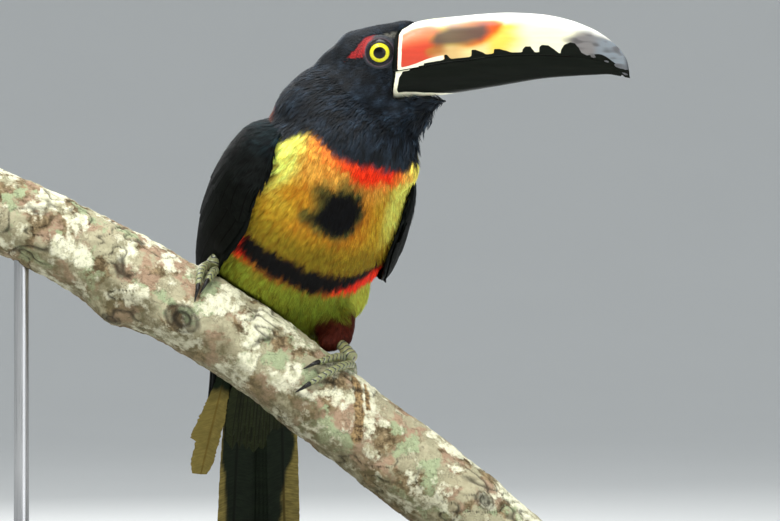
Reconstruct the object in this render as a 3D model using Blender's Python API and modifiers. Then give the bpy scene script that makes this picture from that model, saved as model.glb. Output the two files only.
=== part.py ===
"""A collared aracari, a small toucan, perched on a cut length of branch that two rods hold over a flat base.

Lengths are in millimetres up to the last step of each shape, where MM turns them into metres.
X runs to the bird's left, Y to its back and Z up; the origin is the centre of the base's underside.
"""

import math

import bmesh
import bpy
import numpy as np
from mathutils import Matrix, Vector
from mathutils.bvhtree import BVHTree

MM = 0.001
GAP = 0.35  # the space left between two solids that touch in life
UP = Vector((0, 0, 1))
FRONT = Vector((0, -1, 0))
SIDES = {"right": -1, "left": 1}

# Stand
BASE_SIZE = (290, 156, 12)
BASE_CORNER_RADIUS = 24
BASE_EDGE = 1.6
ROD_RADIUS = 3.5
ROD_PLACES = {"stand_rod_left": -112, "stand_rod_right": 121}
FLANGE_RADIUS = 11
FLANGE_HEIGHT = 4

# Perch: points of the branch's centre line as (x, z), and its radius at each
PERCH_Y = -15
PERCH_LINE = ((-134, 237), (-99, 221), (-53, 196.5), (-7, 169.5), (39, 134.5), (85, 100), (138, 58))
PERCH_RADII = (18.3, 18.8, 19.8, 19.4, 19.8, 19.4, 18.6)
PERCH_RINGS = 25
PERCH_SIDES = 14
# Swellings of the branch: x of its centre line there, angle from the top to the front, height, length, spread
PERCH_BUMPS = ((-62, 155, 4.5, 10, 32), (-36, 86, 1.6, 7, 24), (41, 84, 1.6, 9, 28), (90, 62, 2.2, 9, 28))

# Trunk: the way that the breast faces, and the spine from the vent up to the neck
BODY_YAW = math.radians(22)
SPINE = ((-4, 34, 156), (7.4, 18, 190), (11.5, 8, 212), (22, -3, 236), (31, -12, 256), (37, -17, 274))
# Sections of the trunk: place along the spine from the vent, half width, depth to the breast, depth to the back
TRUNK = (
    (-14, 8, 5, 5),
    (0, 13, 10, 11),
    (18, 26.5, 18, 19),
    (38, 38, 28, 25),
    (61, 41.5, 35, 29),
    (88, 46, 37, 32),
    (108, 43, 34, 33),
    (124, 36, 30, 31),
    (134, 29, 26, 27),
)
TRUNK_RINGS = 22
TRUNK_SIDES = 28

# Head and hood as rounded masses: centre, radii along, across and up, and how far the long axis rises, in degrees
HEAD_YAW = math.radians(6)
HEAD_MASSES = (
    ((47.5, -20, 300.5), (20, 16, 17.6), 26),
    ((58, -21, 302.5), (10, 12.5, 17.5), 0),
    ((47, -20, 290), (19, 17.5, 15), 0),
    ((24, -14, 279), (28, 23, 18.5), 42),
    ((38, -17, 262), (32, 28, 27), 0),
    ((60, -21, 273), (20, 14, 12), 28),
    ((33, -16, 272), (28, 26, 22), 20),
)
# Where the body is divided, from the head down: a point of each plane and its normal
BODY_CUTS = (((36, -17, 281), (-0.12, 0, -1)), ((43, -17, 258), (-0.3, -0.1, -1)), ((18, 0, 206), (-0.22, -0.05, -1)))
RUMP_PLACE = 10
BODY_PARTS = ("head", "neck", "breast", "belly", "rump")
BODY_VOXEL = 2.0
BODY_SMOOTHING = 14
BODY_TRIANGLES = 880

# Bill: base of the cutting edge, then outlines along the bill and up from that base
BILL_BASE = Vector((60.7, -21, 295.3))
CULMEN = ((1.8, 19.8), (10.6, 23.5), (26.7, 25.5), (52, 27.1), (75, 24.8), (93.4, 17.5), (104.3, 7.2), (106.9, -3))
CUTTING_EDGE = ((0, 0), (22, 3.8), (34, 5.2), (45, 6.8), (57, 7.4), (70, 7.3), (84, 6.2), (97, 3), (104.6, -2.6))
GONYS = ((-0.5, -12.4), (22, -10.2), (45, -6.6), (66, -3.2), (82, -1.9), (92, -1.2), (98.5, -0.6))
LOWER_TIP_SHARE = 0.952  # the lower half ends this far along the cutting edge
BILL_HALF_WIDTHS = (12.4, 11.8, 10.6, 8.9, 6.8, 4.3, 1.3)
BILL_RINGS = 15
CHIN_RISE = 4.4  # how far the chin rises along the keel, 40 mm ahead of its base
BILL_SIDES = 11

# Eyes
EYE_PLACE = Vector((-8, 10.3, 9.7))  # from the bill's base: along, across, up
EYE_RADIUS = 6.2

# Wings, as places along the spine, angles round the trunk from the breast, and how far they stand out
WING_TOP = 127
WING_TIP = -22
WING_ROWS = 13
WING_COLUMNS = 7
WING_FRONT = ((-22, 90), (-8, 86), (14, 80), (40, 75), (58, 74), (72, 70), (83, 66), (95, 65), (110, 64), (119, 68), (127, 84))
WING_FRONT_SHIFT = {"right": 0, "left": 3}
WING_BACK = ((-22, 112), (-8, 140), (14, 168), (40, 174), (70, 172), (95, 158), (127, 118))
WING_REACH = ((-22, 20), (0, 25), (18, 32), (40, 39), (61, 30), (127, 20))
WING_DEPTH = 5.2
WING_EDGE = 1.3
WING_CUTS = (74, 24)

# Legs: x of the branch's centre line under the foot, then each toe as such an x and an angle for root, middle and tip
FEET = {
    "right": {
        "pad": (-35.3, -3),
        "thigh": ((-8, 4, 207), (-16, -4, 209), (-21.5, -12, 211.5)),
        "thigh_radii": (12, 10, 6),
        "toes": {
            "inner": ((-33.4, 6), (-33.8, 24), (-33.8, 42)),
            "outer": ((-37.4, 6), (-38, 32), (-35.8, 57)),
            "hind_inner": ((-33.4, -12), (-30, -50), (-27.5, -84)),
            "hind_outer": ((-37.4, -12), (-41, -50), (-43, -80)),
        },
    },
    "left": {
        "pad": (24.4, -3),
        "thigh": ((30, 13, 190), (33, 3.5, 181), (34, -5.5, 171)),
        "thigh_radii": (11.5, 9.6, 6.6),
        "toes": {
            "inner": ((22.3, 6), (19.4, 30), (16.3, 52)),
            "outer": ((26.4, 8), (22.8, 44), (20, 77)),
            "hind_inner": ((22.4, -12), (20, -50), (19, -80)),
            "hind_outer": ((26.8, -12), (31, -52), (33.5, -86)),
        },
    },
}
PAD_RADIUS = 3.9
SHANK_RADIUS = 2.5
TOE_RADII = (2.0, 1.9, 1.75, 1.65, 1.1)
CLAW_LENGTH = 8
CLAW_RADIUS = 1.0

# Tail: pairs of feathers from the middle pair out, each a share of the full length and a step further out
TAIL_ROOT = Vector((-5.5, 40.5, 147))
TAIL_TIP = Vector((-9, 92, 24))
TAIL_LENGTH_STEPS = (1.0, 0.985, 0.93, 0.84, 0.7)
TAIL_HALF_WIDTH = 7.85
TAIL_OFFSET = 8.4
TAIL_ROOT_SHARE = 0.93  # of that offset, at the root
TAIL_OFFSET_STEP = 0.75
TAIL_SPREAD = 0.5  # degrees for each pair
TAIL_LAYER = 1.0
FEATHER_THICKNESS = 0.6
# The short outer feather that stands away from the others on the right side
LOOSE_FEATHER = {"name": "tail_right_5", "root": Vector((-19.5, 23.5, 158)), "length": 54, "spread": 12}


def clear_scene():
    for thing in list(bpy.data.objects):
        bpy.data.objects.remove(thing, do_unlink=True)


def collection(name, helper=False):
    made = bpy.data.collections.new(name)
    bpy.context.scene.collection.children.link(made)
    made.hide_render = helper
    return made


def material(name, colour, roughness, metallic=0.0):
    made = bpy.data.materials.new(name)
    made.use_nodes = True
    shader = made.node_tree.nodes["Principled BSDF"]
    shader.inputs["Base Color"].default_value = (*colour, 1)
    shader.inputs["Roughness"].default_value = roughness
    shader.inputs["Metallic"].default_value = metallic
    return made


def smooth_curve(points, count):
    """Catmull-Rom points, evenly spaced along the curve through the given ones."""
    p = np.array(points, float)
    p = np.vstack([2 * p[0] - p[1], p, 2 * p[-1] - p[-2]])
    found = []
    for a, b, c, d in zip(p, p[1:], p[2:], p[3:]):
        for t in np.linspace(0, 1, 24, endpoint=False):
            found.append(
                0.5 * (2 * b + (c - a) * t + (2 * a - 5 * b + 4 * c - d) * t**2 + (3 * b - a - 3 * c + d) * t**3)
            )
    found = np.array(found + [p[-2]])
    length = np.concatenate([[0], np.cumsum(np.linalg.norm(np.diff(found, axis=0), axis=1))])
    at = np.linspace(0, length[-1], count)
    return np.column_stack([np.interp(at, length, found[:, i]) for i in range(p.shape[1])])


def smooth_table(rows, at):
    """The columns of a table read at a value of its first column, eased between its rows."""
    rows = np.array(rows, float)
    k = int(np.clip(np.searchsorted(rows[:, 0], at) - 1, 0, len(rows) - 2))
    t = float(np.clip((at - rows[k, 0]) / (rows[k + 1, 0] - rows[k, 0]), 0, 1))
    before, after = rows[max(k - 1, 0)], rows[min(k + 2, len(rows) - 1)]
    here, there = rows[k], rows[k + 1]
    span = there[0] - here[0]
    lead_in = (there - before)[1:] / max(there[0] - before[0], 1e-9) * span
    lead_out = (after - here)[1:] / max(after[0] - here[0], 1e-9) * span
    return (
        (2 * t**3 - 3 * t**2 + 1) * here[1:]
        + (t**3 - 2 * t**2 + t) * lead_in
        + (3 * t**2 - 2 * t**3) * there[1:]
        + (t**3 - t**2) * lead_out
    )


def add_object(name, mesh, group, finish=None):
    made = bpy.data.objects.new(name, mesh)
    group.objects.link(made)
    if finish:
        mesh.materials.clear()
        mesh.materials.append(finish)
    return made


def mesh_from(bm, name):
    bmesh.ops.recalc_face_normals(bm, faces=bm.faces)
    mesh = bpy.data.meshes.new(name)
    bm.to_mesh(mesh)
    bm.free()
    mesh.shade_smooth()
    mesh.set_sharp_from_angle(angle=math.radians(50))
    return mesh


def loft(name, rings, group, finish=None):
    """A closed skin over rings of points in millimetres, with a flat cap on each end."""
    bm = bmesh.new()
    rows = [[bm.verts.new(Vector(p) * MM) for p in ring] for ring in rings]
    for low, high in zip(rows, rows[1:]):
        for i in range(len(low)):
            j = (i + 1) % len(low)
            bm.faces.new((low[i], low[j], high[j], high[i]))
    bm.faces.new(rows[0][::-1])
    bm.faces.new(rows[-1])
    return add_object(name, mesh_from(bm, name), group, finish)


def rounded_mass(centre, radii, rise, yaw, group):
    bm = bmesh.new()
    bmesh.ops.create_uvsphere(bm, u_segments=32, v_segments=20, radius=1)
    turn = Matrix.Rotation(-yaw, 4, "Z") @ Matrix.Rotation(-math.radians(rise), 4, "Y")
    bmesh.ops.transform(
        bm, verts=bm.verts, matrix=Matrix.Translation(Vector(centre) * MM) @ turn @ Matrix.Diagonal((*radii, 1000)) * MM
    )
    return add_object("mass", mesh_from(bm, "mass"), group)


def evaluated(thing, name=None):
    """The object's mesh with its modifiers applied, as a new object in the same place."""
    graph = bpy.context.evaluated_depsgraph_get()
    mesh = bpy.data.meshes.new_from_object(thing.evaluated_get(graph))
    made = bpy.data.objects.new(name or thing.name, mesh)
    thing.users_collection[0].objects.link(made)
    made.matrix_world = thing.matrix_world.copy()
    bpy.data.objects.remove(thing)
    made.name = name or made.name
    return made


def joined(things, name):
    """One object that holds the shells of several."""
    bm = bmesh.new()
    for thing in things:
        start = len(bm.verts)
        bm.from_mesh(thing.data)
        bm.verts.ensure_lookup_table()
        bmesh.ops.transform(bm, matrix=thing.matrix_world, verts=bm.verts[start:])
    group = things[0].users_collection[0]
    for thing in things:
        bpy.data.objects.remove(thing)
    return add_object(name, mesh_from(bm, name), group)


def grown(thing, by, group):
    """A cutter: a copy of a solid whose surface stands out by a distance in millimetres."""
    bm = bmesh.new()
    bm.from_mesh(thing.data)
    bm.normal_update()
    moved = [v.co + v.normal * by * MM * min(v.calc_shell_factor(), 1.5) for v in bm.verts]
    for vertex, place in zip(bm.verts, moved):
        vertex.co = place
    made = add_object("cutter_" + thing.name, mesh_from(bm, "cutter"), group)
    made.display_type = "WIRE"
    made.hide_render = True
    return made


def cut(thing, cutters):
    """The solid less the cutters, keeping only its largest piece."""
    name = thing.name
    for cutter in cutters:
        step = thing.modifiers.new("cut", "BOOLEAN")
        step.operation = "DIFFERENCE"
        step.solver = "EXACT"
        step.object = cutter
    return largest_piece(evaluated(thing, name))


def largest_piece(thing):
    bm = bmesh.new()
    bm.from_mesh(thing.data)
    bmesh.ops.remove_doubles(bm, verts=bm.verts, dist=0.02 * MM)
    left = set(bm.faces)
    pieces = []
    while left:
        queue = [left.pop()]
        piece = list(queue)
        while queue:
            near = {f for e in queue.pop().edges for f in e.link_faces} & left
            left -= near
            queue += near
            piece += near
        pieces.append(piece)
    keep = set(max(pieces, key=lambda faces: sum(f.calc_area() for f in faces)))
    bmesh.ops.delete(bm, geom=[f for f in bm.faces if f not in keep], context="FACES")
    bmesh.ops.triangulate(bm, faces=bm.faces)
    bm.to_mesh(thing.data)
    bm.free()
    return thing


def parted(thing, planes, names, group, finishes):
    """Cuts a solid by planes, from one end to the other, into as many pieces as names. A plane is (point, normal)."""
    made = []
    bounds = [None, *planes, None]
    for name, low, high, finish in zip(names, bounds, bounds[1:], finishes):
        bm = bmesh.new()
        bm.from_mesh(thing.data)
        for plane, side in ((low, 1), (high, -1)):
            if plane is None:
                continue
            point, normal = Vector(plane[0]), Vector(plane[1]).normalized() * side
            found = bmesh.ops.bisect_plane(
                bm,
                geom=bm.verts[:] + bm.edges[:] + bm.faces[:],
                plane_co=(point + normal * GAP / 2) * MM,
                plane_no=normal,
                clear_inner=True,
                dist=1e-7,
            )
            rim = [e for e in found["geom_cut"] if isinstance(e, bmesh.types.BMEdge) and e.is_boundary]
            bmesh.ops.triangle_fill(bm, edges=rim, use_beauty=True)
        bmesh.ops.triangulate(bm, faces=bm.faces)
        made.append(largest_piece(add_object(name, mesh_from(bm, name), group, finish)))
    bpy.data.objects.remove(thing)
    return made


# The branch


def perch_course(x):
    """Centre, tangent, radius and the way up from the branch, where its centre line has this x."""
    line = smooth_curve([(px, PERCH_Y, pz, r) for (px, pz), r in zip(PERCH_LINE, PERCH_RADII)], 240)
    y, z, radius = (np.interp(x, line[:, 0], line[:, i]) for i in (1, 2, 3))
    rise = np.interp(x + 3, line[:, 0], line[:, 2]) - np.interp(x - 3, line[:, 0], line[:, 2])
    along = Vector((6, 0, rise)).normalized()
    return Vector((x, y, z)), along, radius, Vector((-along.z, 0, along.x))


def perch_radius(x, angle):
    """The branch's radius with its swellings, at an angle in degrees from its top towards the front."""
    radius = perch_course(x)[2]
    for place, bump_angle, height, length, spread in PERCH_BUMPS:
        turned = (angle - bump_angle + 180) % 360 - 180
        radius += height * math.exp(-(((x - place) / length) ** 2) - (turned / spread) ** 2)
    return radius


def perch_point(x, angle, height=0.0):
    centre, _, _, top = perch_course(x)
    a = math.radians(angle)
    return centre + (top * math.cos(a) + FRONT * math.sin(a)) * (perch_radius(x, angle) + height)


def build_perch(group, finish):
    low, high = PERCH_LINE[0][0], PERCH_LINE[-1][0]
    rings = [
        [perch_point(x, angle) for angle in np.arange(0, 360, 360 / PERCH_SIDES)]
        for x in np.linspace(low, high, PERCH_RINGS)
    ]
    return loft("perch_branch", rings, group, finish)


def build_stand(group, finishes, perch_cutter):
    half_x, half_y = BASE_SIZE[0] / 2 - BASE_CORNER_RADIUS, BASE_SIZE[1] / 2 - BASE_CORNER_RADIUS
    outline = bpy.data.curves.new("stand_base", "CURVE")
    outline.dimensions = "2D"
    outline.fill_mode = "BOTH"
    outline.extrude = (BASE_SIZE[2] / 2 - BASE_EDGE) * MM
    outline.bevel_depth = BASE_EDGE * MM
    outline.bevel_resolution = 1
    outline.offset = -BASE_EDGE * MM
    corners = []
    for quarter, (x, y) in enumerate(((half_x, half_y), (-half_x, half_y), (-half_x, -half_y), (half_x, -half_y))):
        for step in range(5):
            a = (quarter + step / 4) * math.pi / 2
            corners.append((x + BASE_CORNER_RADIUS * math.cos(a), y + BASE_CORNER_RADIUS * math.sin(a), 0, 1))
    spline = outline.splines.new("POLY")
    spline.points.add(len(corners) - 1)
    for point, place in zip(spline.points, corners):
        point.co = (*(Vector(place[:3]) * MM), 1)
    spline.use_cyclic_u = True
    base = add_object("stand_base", outline, group)
    base.location.z = BASE_SIZE[2] / 2 * MM
    bpy.context.view_layer.update()
    base = evaluated(base, "stand_base")
    base.data.transform(base.matrix_world)
    base.matrix_world = Matrix.Identity(4)
    largest_piece(base)
    base.data.materials.append(finishes["stand"])
    for name, x in ROD_PLACES.items():
        build_rod(name, x, group, finishes["metal"], perch_cutter)


def build_rod(name, x, group, finish, perch_cutter):
    """A turned rod with a flange at its foot, its top hollowed to the branch that lies in it."""
    foot = BASE_SIZE[2] + GAP
    top = perch_course(x)[0].z
    profile = (
        (0, top),
        (ROD_RADIUS, top),
        (ROD_RADIUS, foot + FLANGE_HEIGHT),
        (FLANGE_RADIUS - 1, foot + FLANGE_HEIGHT),
        (FLANGE_RADIUS, foot + FLANGE_HEIGHT - 1),
        (FLANGE_RADIUS, foot),
        (0, foot),
    )
    bm = bmesh.new()
    points = [bm.verts.new(Vector((r, 0, z)) * MM) for r, z in profile]
    for a, b in zip(points, points[1:]):
        bm.edges.new((a, b))
    mesh = bpy.data.meshes.new(name)
    bm.to_mesh(mesh)
    bm.free()
    rod = add_object(name, mesh, group)
    rod.location = Vector((x, PERCH_Y, 0)) * MM
    turn = rod.modifiers.new("turn", "SCREW")
    turn.steps = turn.render_steps = 14
    turn.use_merge_vertices = True
    turn.merge_threshold = 0.00001
    bpy.context.view_layer.update()
    rod = evaluated(rod, name)
    rod.data.transform(rod.matrix_world)
    rod.matrix_world = Matrix.Identity(4)
    cut(rod, [perch_cutter]).data.materials.append(finish)


# The trunk


class Spine:
    """The line from the vent to the neck, with the body's own directions at each place along it."""

    def __init__(self):
        self.points = smooth_curve(SPINE, 200)
        steps = np.linalg.norm(np.diff(self.points, axis=0), axis=1)
        self.places = np.concatenate([[0], np.cumsum(steps)])
        self.right = Vector((-math.cos(BODY_YAW), -math.sin(BODY_YAW), 0))

    def at(self, place):
        """Centre, tangent, the way to the bird's right and the way to its breast."""
        inside = float(np.clip(place, 0.5, self.places[-1] - 0.5))
        here = Vector([np.interp(inside, self.places, self.points[:, i]) for i in range(3)])
        ahead = Vector([np.interp(inside + 0.5, self.places, self.points[:, i]) for i in range(3)])
        tangent = (ahead - here).normalized()
        right = (self.right - tangent * self.right.dot(tangent)).normalized()
        return here + tangent * (place - inside), tangent, right, tangent.cross(right)

    def direction(self, place, angle, side=1):
        """Outward from the spine, at an angle in degrees from the breast round to the bird's right, or left at side -1."""
        _, _, right, breast = self.at(place)
        a = math.radians(angle)
        return breast * math.cos(a) + right * math.sin(a) * side


def build_body(spine, group):
    """Trunk, hood and head in one surface."""
    rings = []
    for place in np.linspace(TRUNK[0][0], TRUNK[-1][0], TRUNK_RINGS):
        width, breast_depth, back_depth = smooth_table(TRUNK, place)
        centre, _, right, breast = spine.at(place)
        ring = []
        for angle in np.linspace(0, 2 * math.pi, TRUNK_SIDES, endpoint=False):
            depth = breast_depth if math.cos(angle) > 0 else back_depth
            ring.append(centre + breast * math.cos(angle) * depth + right * math.sin(angle) * width)
        rings.append(ring)
    masses = [loft("trunk", rings, group)]
    masses += [rounded_mass(centre, radii, rise, HEAD_YAW, group) for centre, radii, rise in HEAD_MASSES]
    body = joined(masses, "body")
    merge = body.modifiers.new("merge", "REMESH")
    merge.mode = "VOXEL"
    merge.voxel_size = BODY_VOXEL * MM
    soften = body.modifiers.new("soften", "SMOOTH")
    soften.factor = 0.5
    soften.iterations = BODY_SMOOTHING
    lighten = body.modifiers.new("lighten", "DECIMATE")
    full = len(evaluated_triangles(body))
    lighten.ratio = BODY_TRIANGLES / full
    return evaluated(body, "body")


def evaluated_triangles(thing):
    thing.modifiers[-1].show_viewport = False
    bpy.context.view_layer.update()
    mesh = thing.evaluated_get(bpy.context.evaluated_depsgraph_get()).to_mesh()
    mesh.calc_loop_triangles()
    found = [tuple(t.vertices) for t in mesh.loop_triangles]
    thing.modifiers[-1].show_viewport = True
    return found


# The bill


def bill_place(along, across, up):
    """A point of the bill's own frame: forward from its base, towards the bird's left, up."""
    forward = Vector((math.cos(HEAD_YAW), -math.sin(HEAD_YAW), 0))
    return BILL_BASE + forward * along + Vector((-forward.y, forward.x, 0)) * across + UP * up


def bill_rings(upper):
    edge = smooth_curve(CUTTING_EDGE, BILL_RINGS)
    if not upper:
        full = smooth_curve(CUTTING_EDGE, 200)
        edge = smooth_curve(full[: int(200 * LOWER_TIP_SHARE)], BILL_RINGS) - np.array((0, GAP))
    outer = smooth_curve(CULMEN if upper else GONYS, BILL_RINGS)
    widths = smooth_curve([(w,) for w in BILL_HALF_WIDTHS], 100)[:, 0]
    rings = []
    for (edge_along, edge_up), (outer_along, outer_up) in zip(edge, outer):
        along_share = np.clip((edge_along + outer_along) / 2 / CULMEN[-1][0], 0, 1)
        width = np.interp(along_share, np.linspace(0, 1, 100), widths) * (1.0 if upper else 0.93)
        ring = []
        for angle in np.linspace(0, math.pi, BILL_SIDES):
            up_share = math.sin(angle) ** 0.85
            across = width * math.copysign(abs(math.cos(angle)) ** 0.75, math.cos(angle))
            across *= 1 - 0.10 * (1 - up_share) ** 3
            ring.append(
                bill_place(
                    edge_along + (outer_along - edge_along) * up_share,
                    across,
                    edge_up + (outer_up - edge_up) * up_share,
                )
            )
        rings.append(ring)
    return rings


def build_eye(name, side, group, finish):
    bm = bmesh.new()
    bmesh.ops.create_uvsphere(bm, u_segments=12, v_segments=8, radius=EYE_RADIUS * MM)
    place = bill_place(EYE_PLACE.x, EYE_PLACE.y * side, EYE_PLACE.z)
    bmesh.ops.translate(bm, verts=bm.verts, vec=place * MM)
    return add_object(name, mesh_from(bm, name), group, finish)


def beyond_bill_base(group):
    """A cutter that trims the head flush with the back of the bill."""
    bm = bmesh.new()
    bmesh.ops.create_cube(bm, size=1)
    for vertex in bm.verts:
        above, ahead = vertex.co.z > 0, vertex.co.x > 0
        lean = 3.5 if above else 0
        keel = CHIN_RISE if ahead and not above else 0
        vertex.co = bill_place(
            40 * (vertex.co.x + 0.5) - GAP + lean,
            60 * vertex.co.y,
            50 * (vertex.co.z + 0.5) + GONYS[0][1] - GAP + keel,
        ) * MM
    made = add_object("cutter_bill_base", mesh_from(bm, "cutter_bill_base"), group)
    made.hide_render = True
    return made


# Wings


def build_wing(spine, body_tree, side, sign, group):
    """A folded wing as one shell that lies on the trunk and runs free past the rump."""
    outer, inner = [], []
    for place in np.linspace(WING_TOP, WING_TIP, WING_ROWS):
        front, back = smooth_table(WING_FRONT, place)[0] + WING_FRONT_SHIFT[side], smooth_table(WING_BACK, place)[0]
        reach = smooth_table(WING_REACH, place)[0]
        centre = spine.at(place)[0]
        end_share = min((WING_TOP - place) / 26, (place - WING_TIP) / 30, 1)
        outer_row, inner_row = [], []
        for share in np.linspace(0, 1, WING_COLUMNS):
            angle = front + (back - front) * share
            a = math.radians(angle)
            outward = spine.direction(place, angle, sign)
            hit = body_tree.ray_cast(centre * MM, outward)[3]
            on_body = (hit or 0) / MM
            free = reach / math.sqrt(math.sin(a) ** 2 + (math.cos(a) / 0.66) ** 2)
            crown = math.sqrt(max(0, math.sin(math.pi * share))) * max(end_share, 0) ** 0.6
            stand_out = WING_EDGE + (WING_DEPTH - WING_EDGE) * crown
            radius = max(on_body + stand_out, free)
            outer_row.append(centre + outward * radius)
            inner_row.append(centre + outward * (radius - stand_out - WING_EDGE))
        outer.append(outer_row)
        inner.append(inner_row)
    rings = [top + under[::-1] for top, under in zip(outer, inner)]
    return loft(f"wing_{side}", rings, group)


# Legs


def tube(name, points, radii, sides, group, finish=None):
    """A tapering round limb along a course of points, closed by a point beyond each end."""
    points = [Vector(p) for p in points]
    widths = np.interp(np.linspace(0, 1, len(points)), np.linspace(0, 1, len(radii)), radii)
    across = None
    rings = []
    for i, (point, width) in enumerate(zip(points, widths)):
        along = (points[min(i + 1, len(points) - 1)] - points[max(i - 1, 0)]).normalized()
        across = (across or along.orthogonal()).normalized()
        across = (across - along * across.dot(along)).normalized()
        other = along.cross(across)
        turns = np.arange(0, 2 * math.pi, 2 * math.pi / sides)
        rings.append([point + (across * math.cos(a) + other * math.sin(a)) * width for a in turns])
    return loft(name, rings, group, finish)


def build_toe(name, stations, foot_cutter, group, finishes):
    """A toe that lies along the bark, its ball end closed, and the claw beyond it."""
    places = smooth_curve(stations, 6)
    radii = np.interp(np.linspace(0, 1, 6), np.linspace(0, 1, len(TOE_RADII)), TOE_RADII)
    points = [perch_point(x, angle, GAP + radius) for (x, angle), radius in zip(places, radii)]
    toe = cut(tube(name, points, radii, 6, group), [foot_cutter])
    toe.data.materials.append(finishes["foot"])
    return [toe, build_claw(name.replace("toe", "claw"), places, group, finishes["claw"])]


def build_claw(name, places, group, finish):
    """A curved claw that goes on from the toe's end and comes down to the bark."""
    last, before = (perch_point(x, angle, 1.5) for x, angle in (places[-1], places[-2]))
    step = (places[-1] - places[-2]) / (last - before).length
    start = places[-1] + step * GAP
    points, radii = [], []
    for share in np.linspace(0, 1, 5):
        x, angle = start + step * CLAW_LENGTH * share
        radius = CLAW_RADIUS * (1 - share) ** 0.8 + 0.22
        lift = 1.3 * math.sin(math.pi * min(share * 1.25, 1)) * (1 - share)
        points.append(perch_point(x, angle, GAP + radius + lift + 0.1))
        radii.append(radius)
    return tube(name, points, radii, 5, group, finish)


def build_thigh(side, foot, cutters, group, finish):
    thigh = tube(f"thigh_{side}", smooth_curve(foot["thigh"], 6), foot["thigh_radii"], 14, group)
    thigh.data.materials.append(finish)
    return cut(thigh, [cutters["perch"]])


def build_foot(side, foot, cutters, group, finishes):
    """The bare shank with the ball of the foot, and four clawed toes, two before and two behind."""
    ball = perch_point(*foot["pad"], GAP + PAD_RADIUS * 0.9)
    knee, ankle = (Vector(p) for p in foot["thigh"][1:])
    beyond = ball + (ball - ankle).normalized() * 2.4
    course = [ankle + (knee - ankle) * 0.3, ankle, (ankle + ball) / 2 + UP, ball, beyond]
    radii = (SHANK_RADIUS, SHANK_RADIUS, SHANK_RADIUS * 1.1, PAD_RADIUS, PAD_RADIUS * 0.6)
    shank = tube(f"shank_{side}", course, radii, 9, group)
    shank = cut(shank, [cutters[f"thigh_{side}"], cutters["perch"]])
    shank.data.materials.append(finishes["foot"])
    found = [grown(shank, GAP, cutters["group"])]
    for toe, stations in foot["toes"].items():
        for bone in build_toe(f"toe_{side}_{toe}", stations, found[0], group, finishes):
            found.append(grown(bone, GAP, cutters["group"]))
    return found


# Tail


def build_tail(spine, cutters, group, finishes):
    """Five pairs of stepped feathers, each pair a layer nearer the front than the one inside it."""
    down = (TAIL_TIP - TAIL_ROOT).normalized()
    length = (TAIL_TIP - TAIL_ROOT).length
    right = (spine.right - down * spine.right.dot(down)).normalized()
    front = down.cross(right) if down.cross(right).y < 0 else right.cross(down)
    cutter_list = [cutters["body"], cutters["wing_right"], cutters["wing_left"]]
    for pair, share in enumerate(TAIL_LENGTH_STEPS):
        for side, sign in (("right", 1), ("left", -1)):
            name = f"tail_{side}_{pair + 1}"
            spread, reach = TAIL_SPREAD * pair, length * share
            offset = TAIL_OFFSET * TAIL_ROOT_SHARE + TAIL_OFFSET_STEP * pair
            root = TAIL_ROOT + right * sign * offset + front * TAIL_LAYER * pair
            if name == LOOSE_FEATHER["name"]:
                spread, reach, root = (LOOSE_FEATHER[key] for key in ("spread", "length", "root"))
            lean = math.radians(spread) * sign
            along = down * math.cos(lean) + right * math.sin(lean)
            across = right * math.cos(lean) - down * math.sin(lean)
            finish = finishes["worn_tail" if name == LOOSE_FEATHER["name"] else "tail"]
            shift = across * TAIL_OFFSET * (1 - TAIL_ROOT_SHARE) * sign
            feather = build_feather(name, root, along * reach + shift, across, front, group)
            cut(feather, cutter_list).data.materials.append(finish)


def build_feather(name, root, reach, across, front, group):
    """One tail feather: a thin cambered vane that widens from its root and rounds off at its tip."""
    rings = []
    for share in (0, 0.25, 0.5, 0.78, 0.92, 0.98, 1.0):
        width = TAIL_HALF_WIDTH * (0.62 + 0.38 * math.sin(min(share / 0.55, 1) * math.pi / 2))
        tip = max(0, (share - 0.86) / 0.14)
        width *= math.sqrt(max(1 - tip**2, 0.06))
        middle = root + reach * share
        half = front * FEATHER_THICKNESS / 2
        droop = front * 0.5 * (width / TAIL_HALF_WIDTH) ** 2
        top = [middle + across * width * place - droop * abs(place) + half for place in (-1, 0, 1)]
        under = [point - half * 2 for point in reversed(top)]
        rings.append(top + under)
    return loft(name, rings, group)


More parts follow.
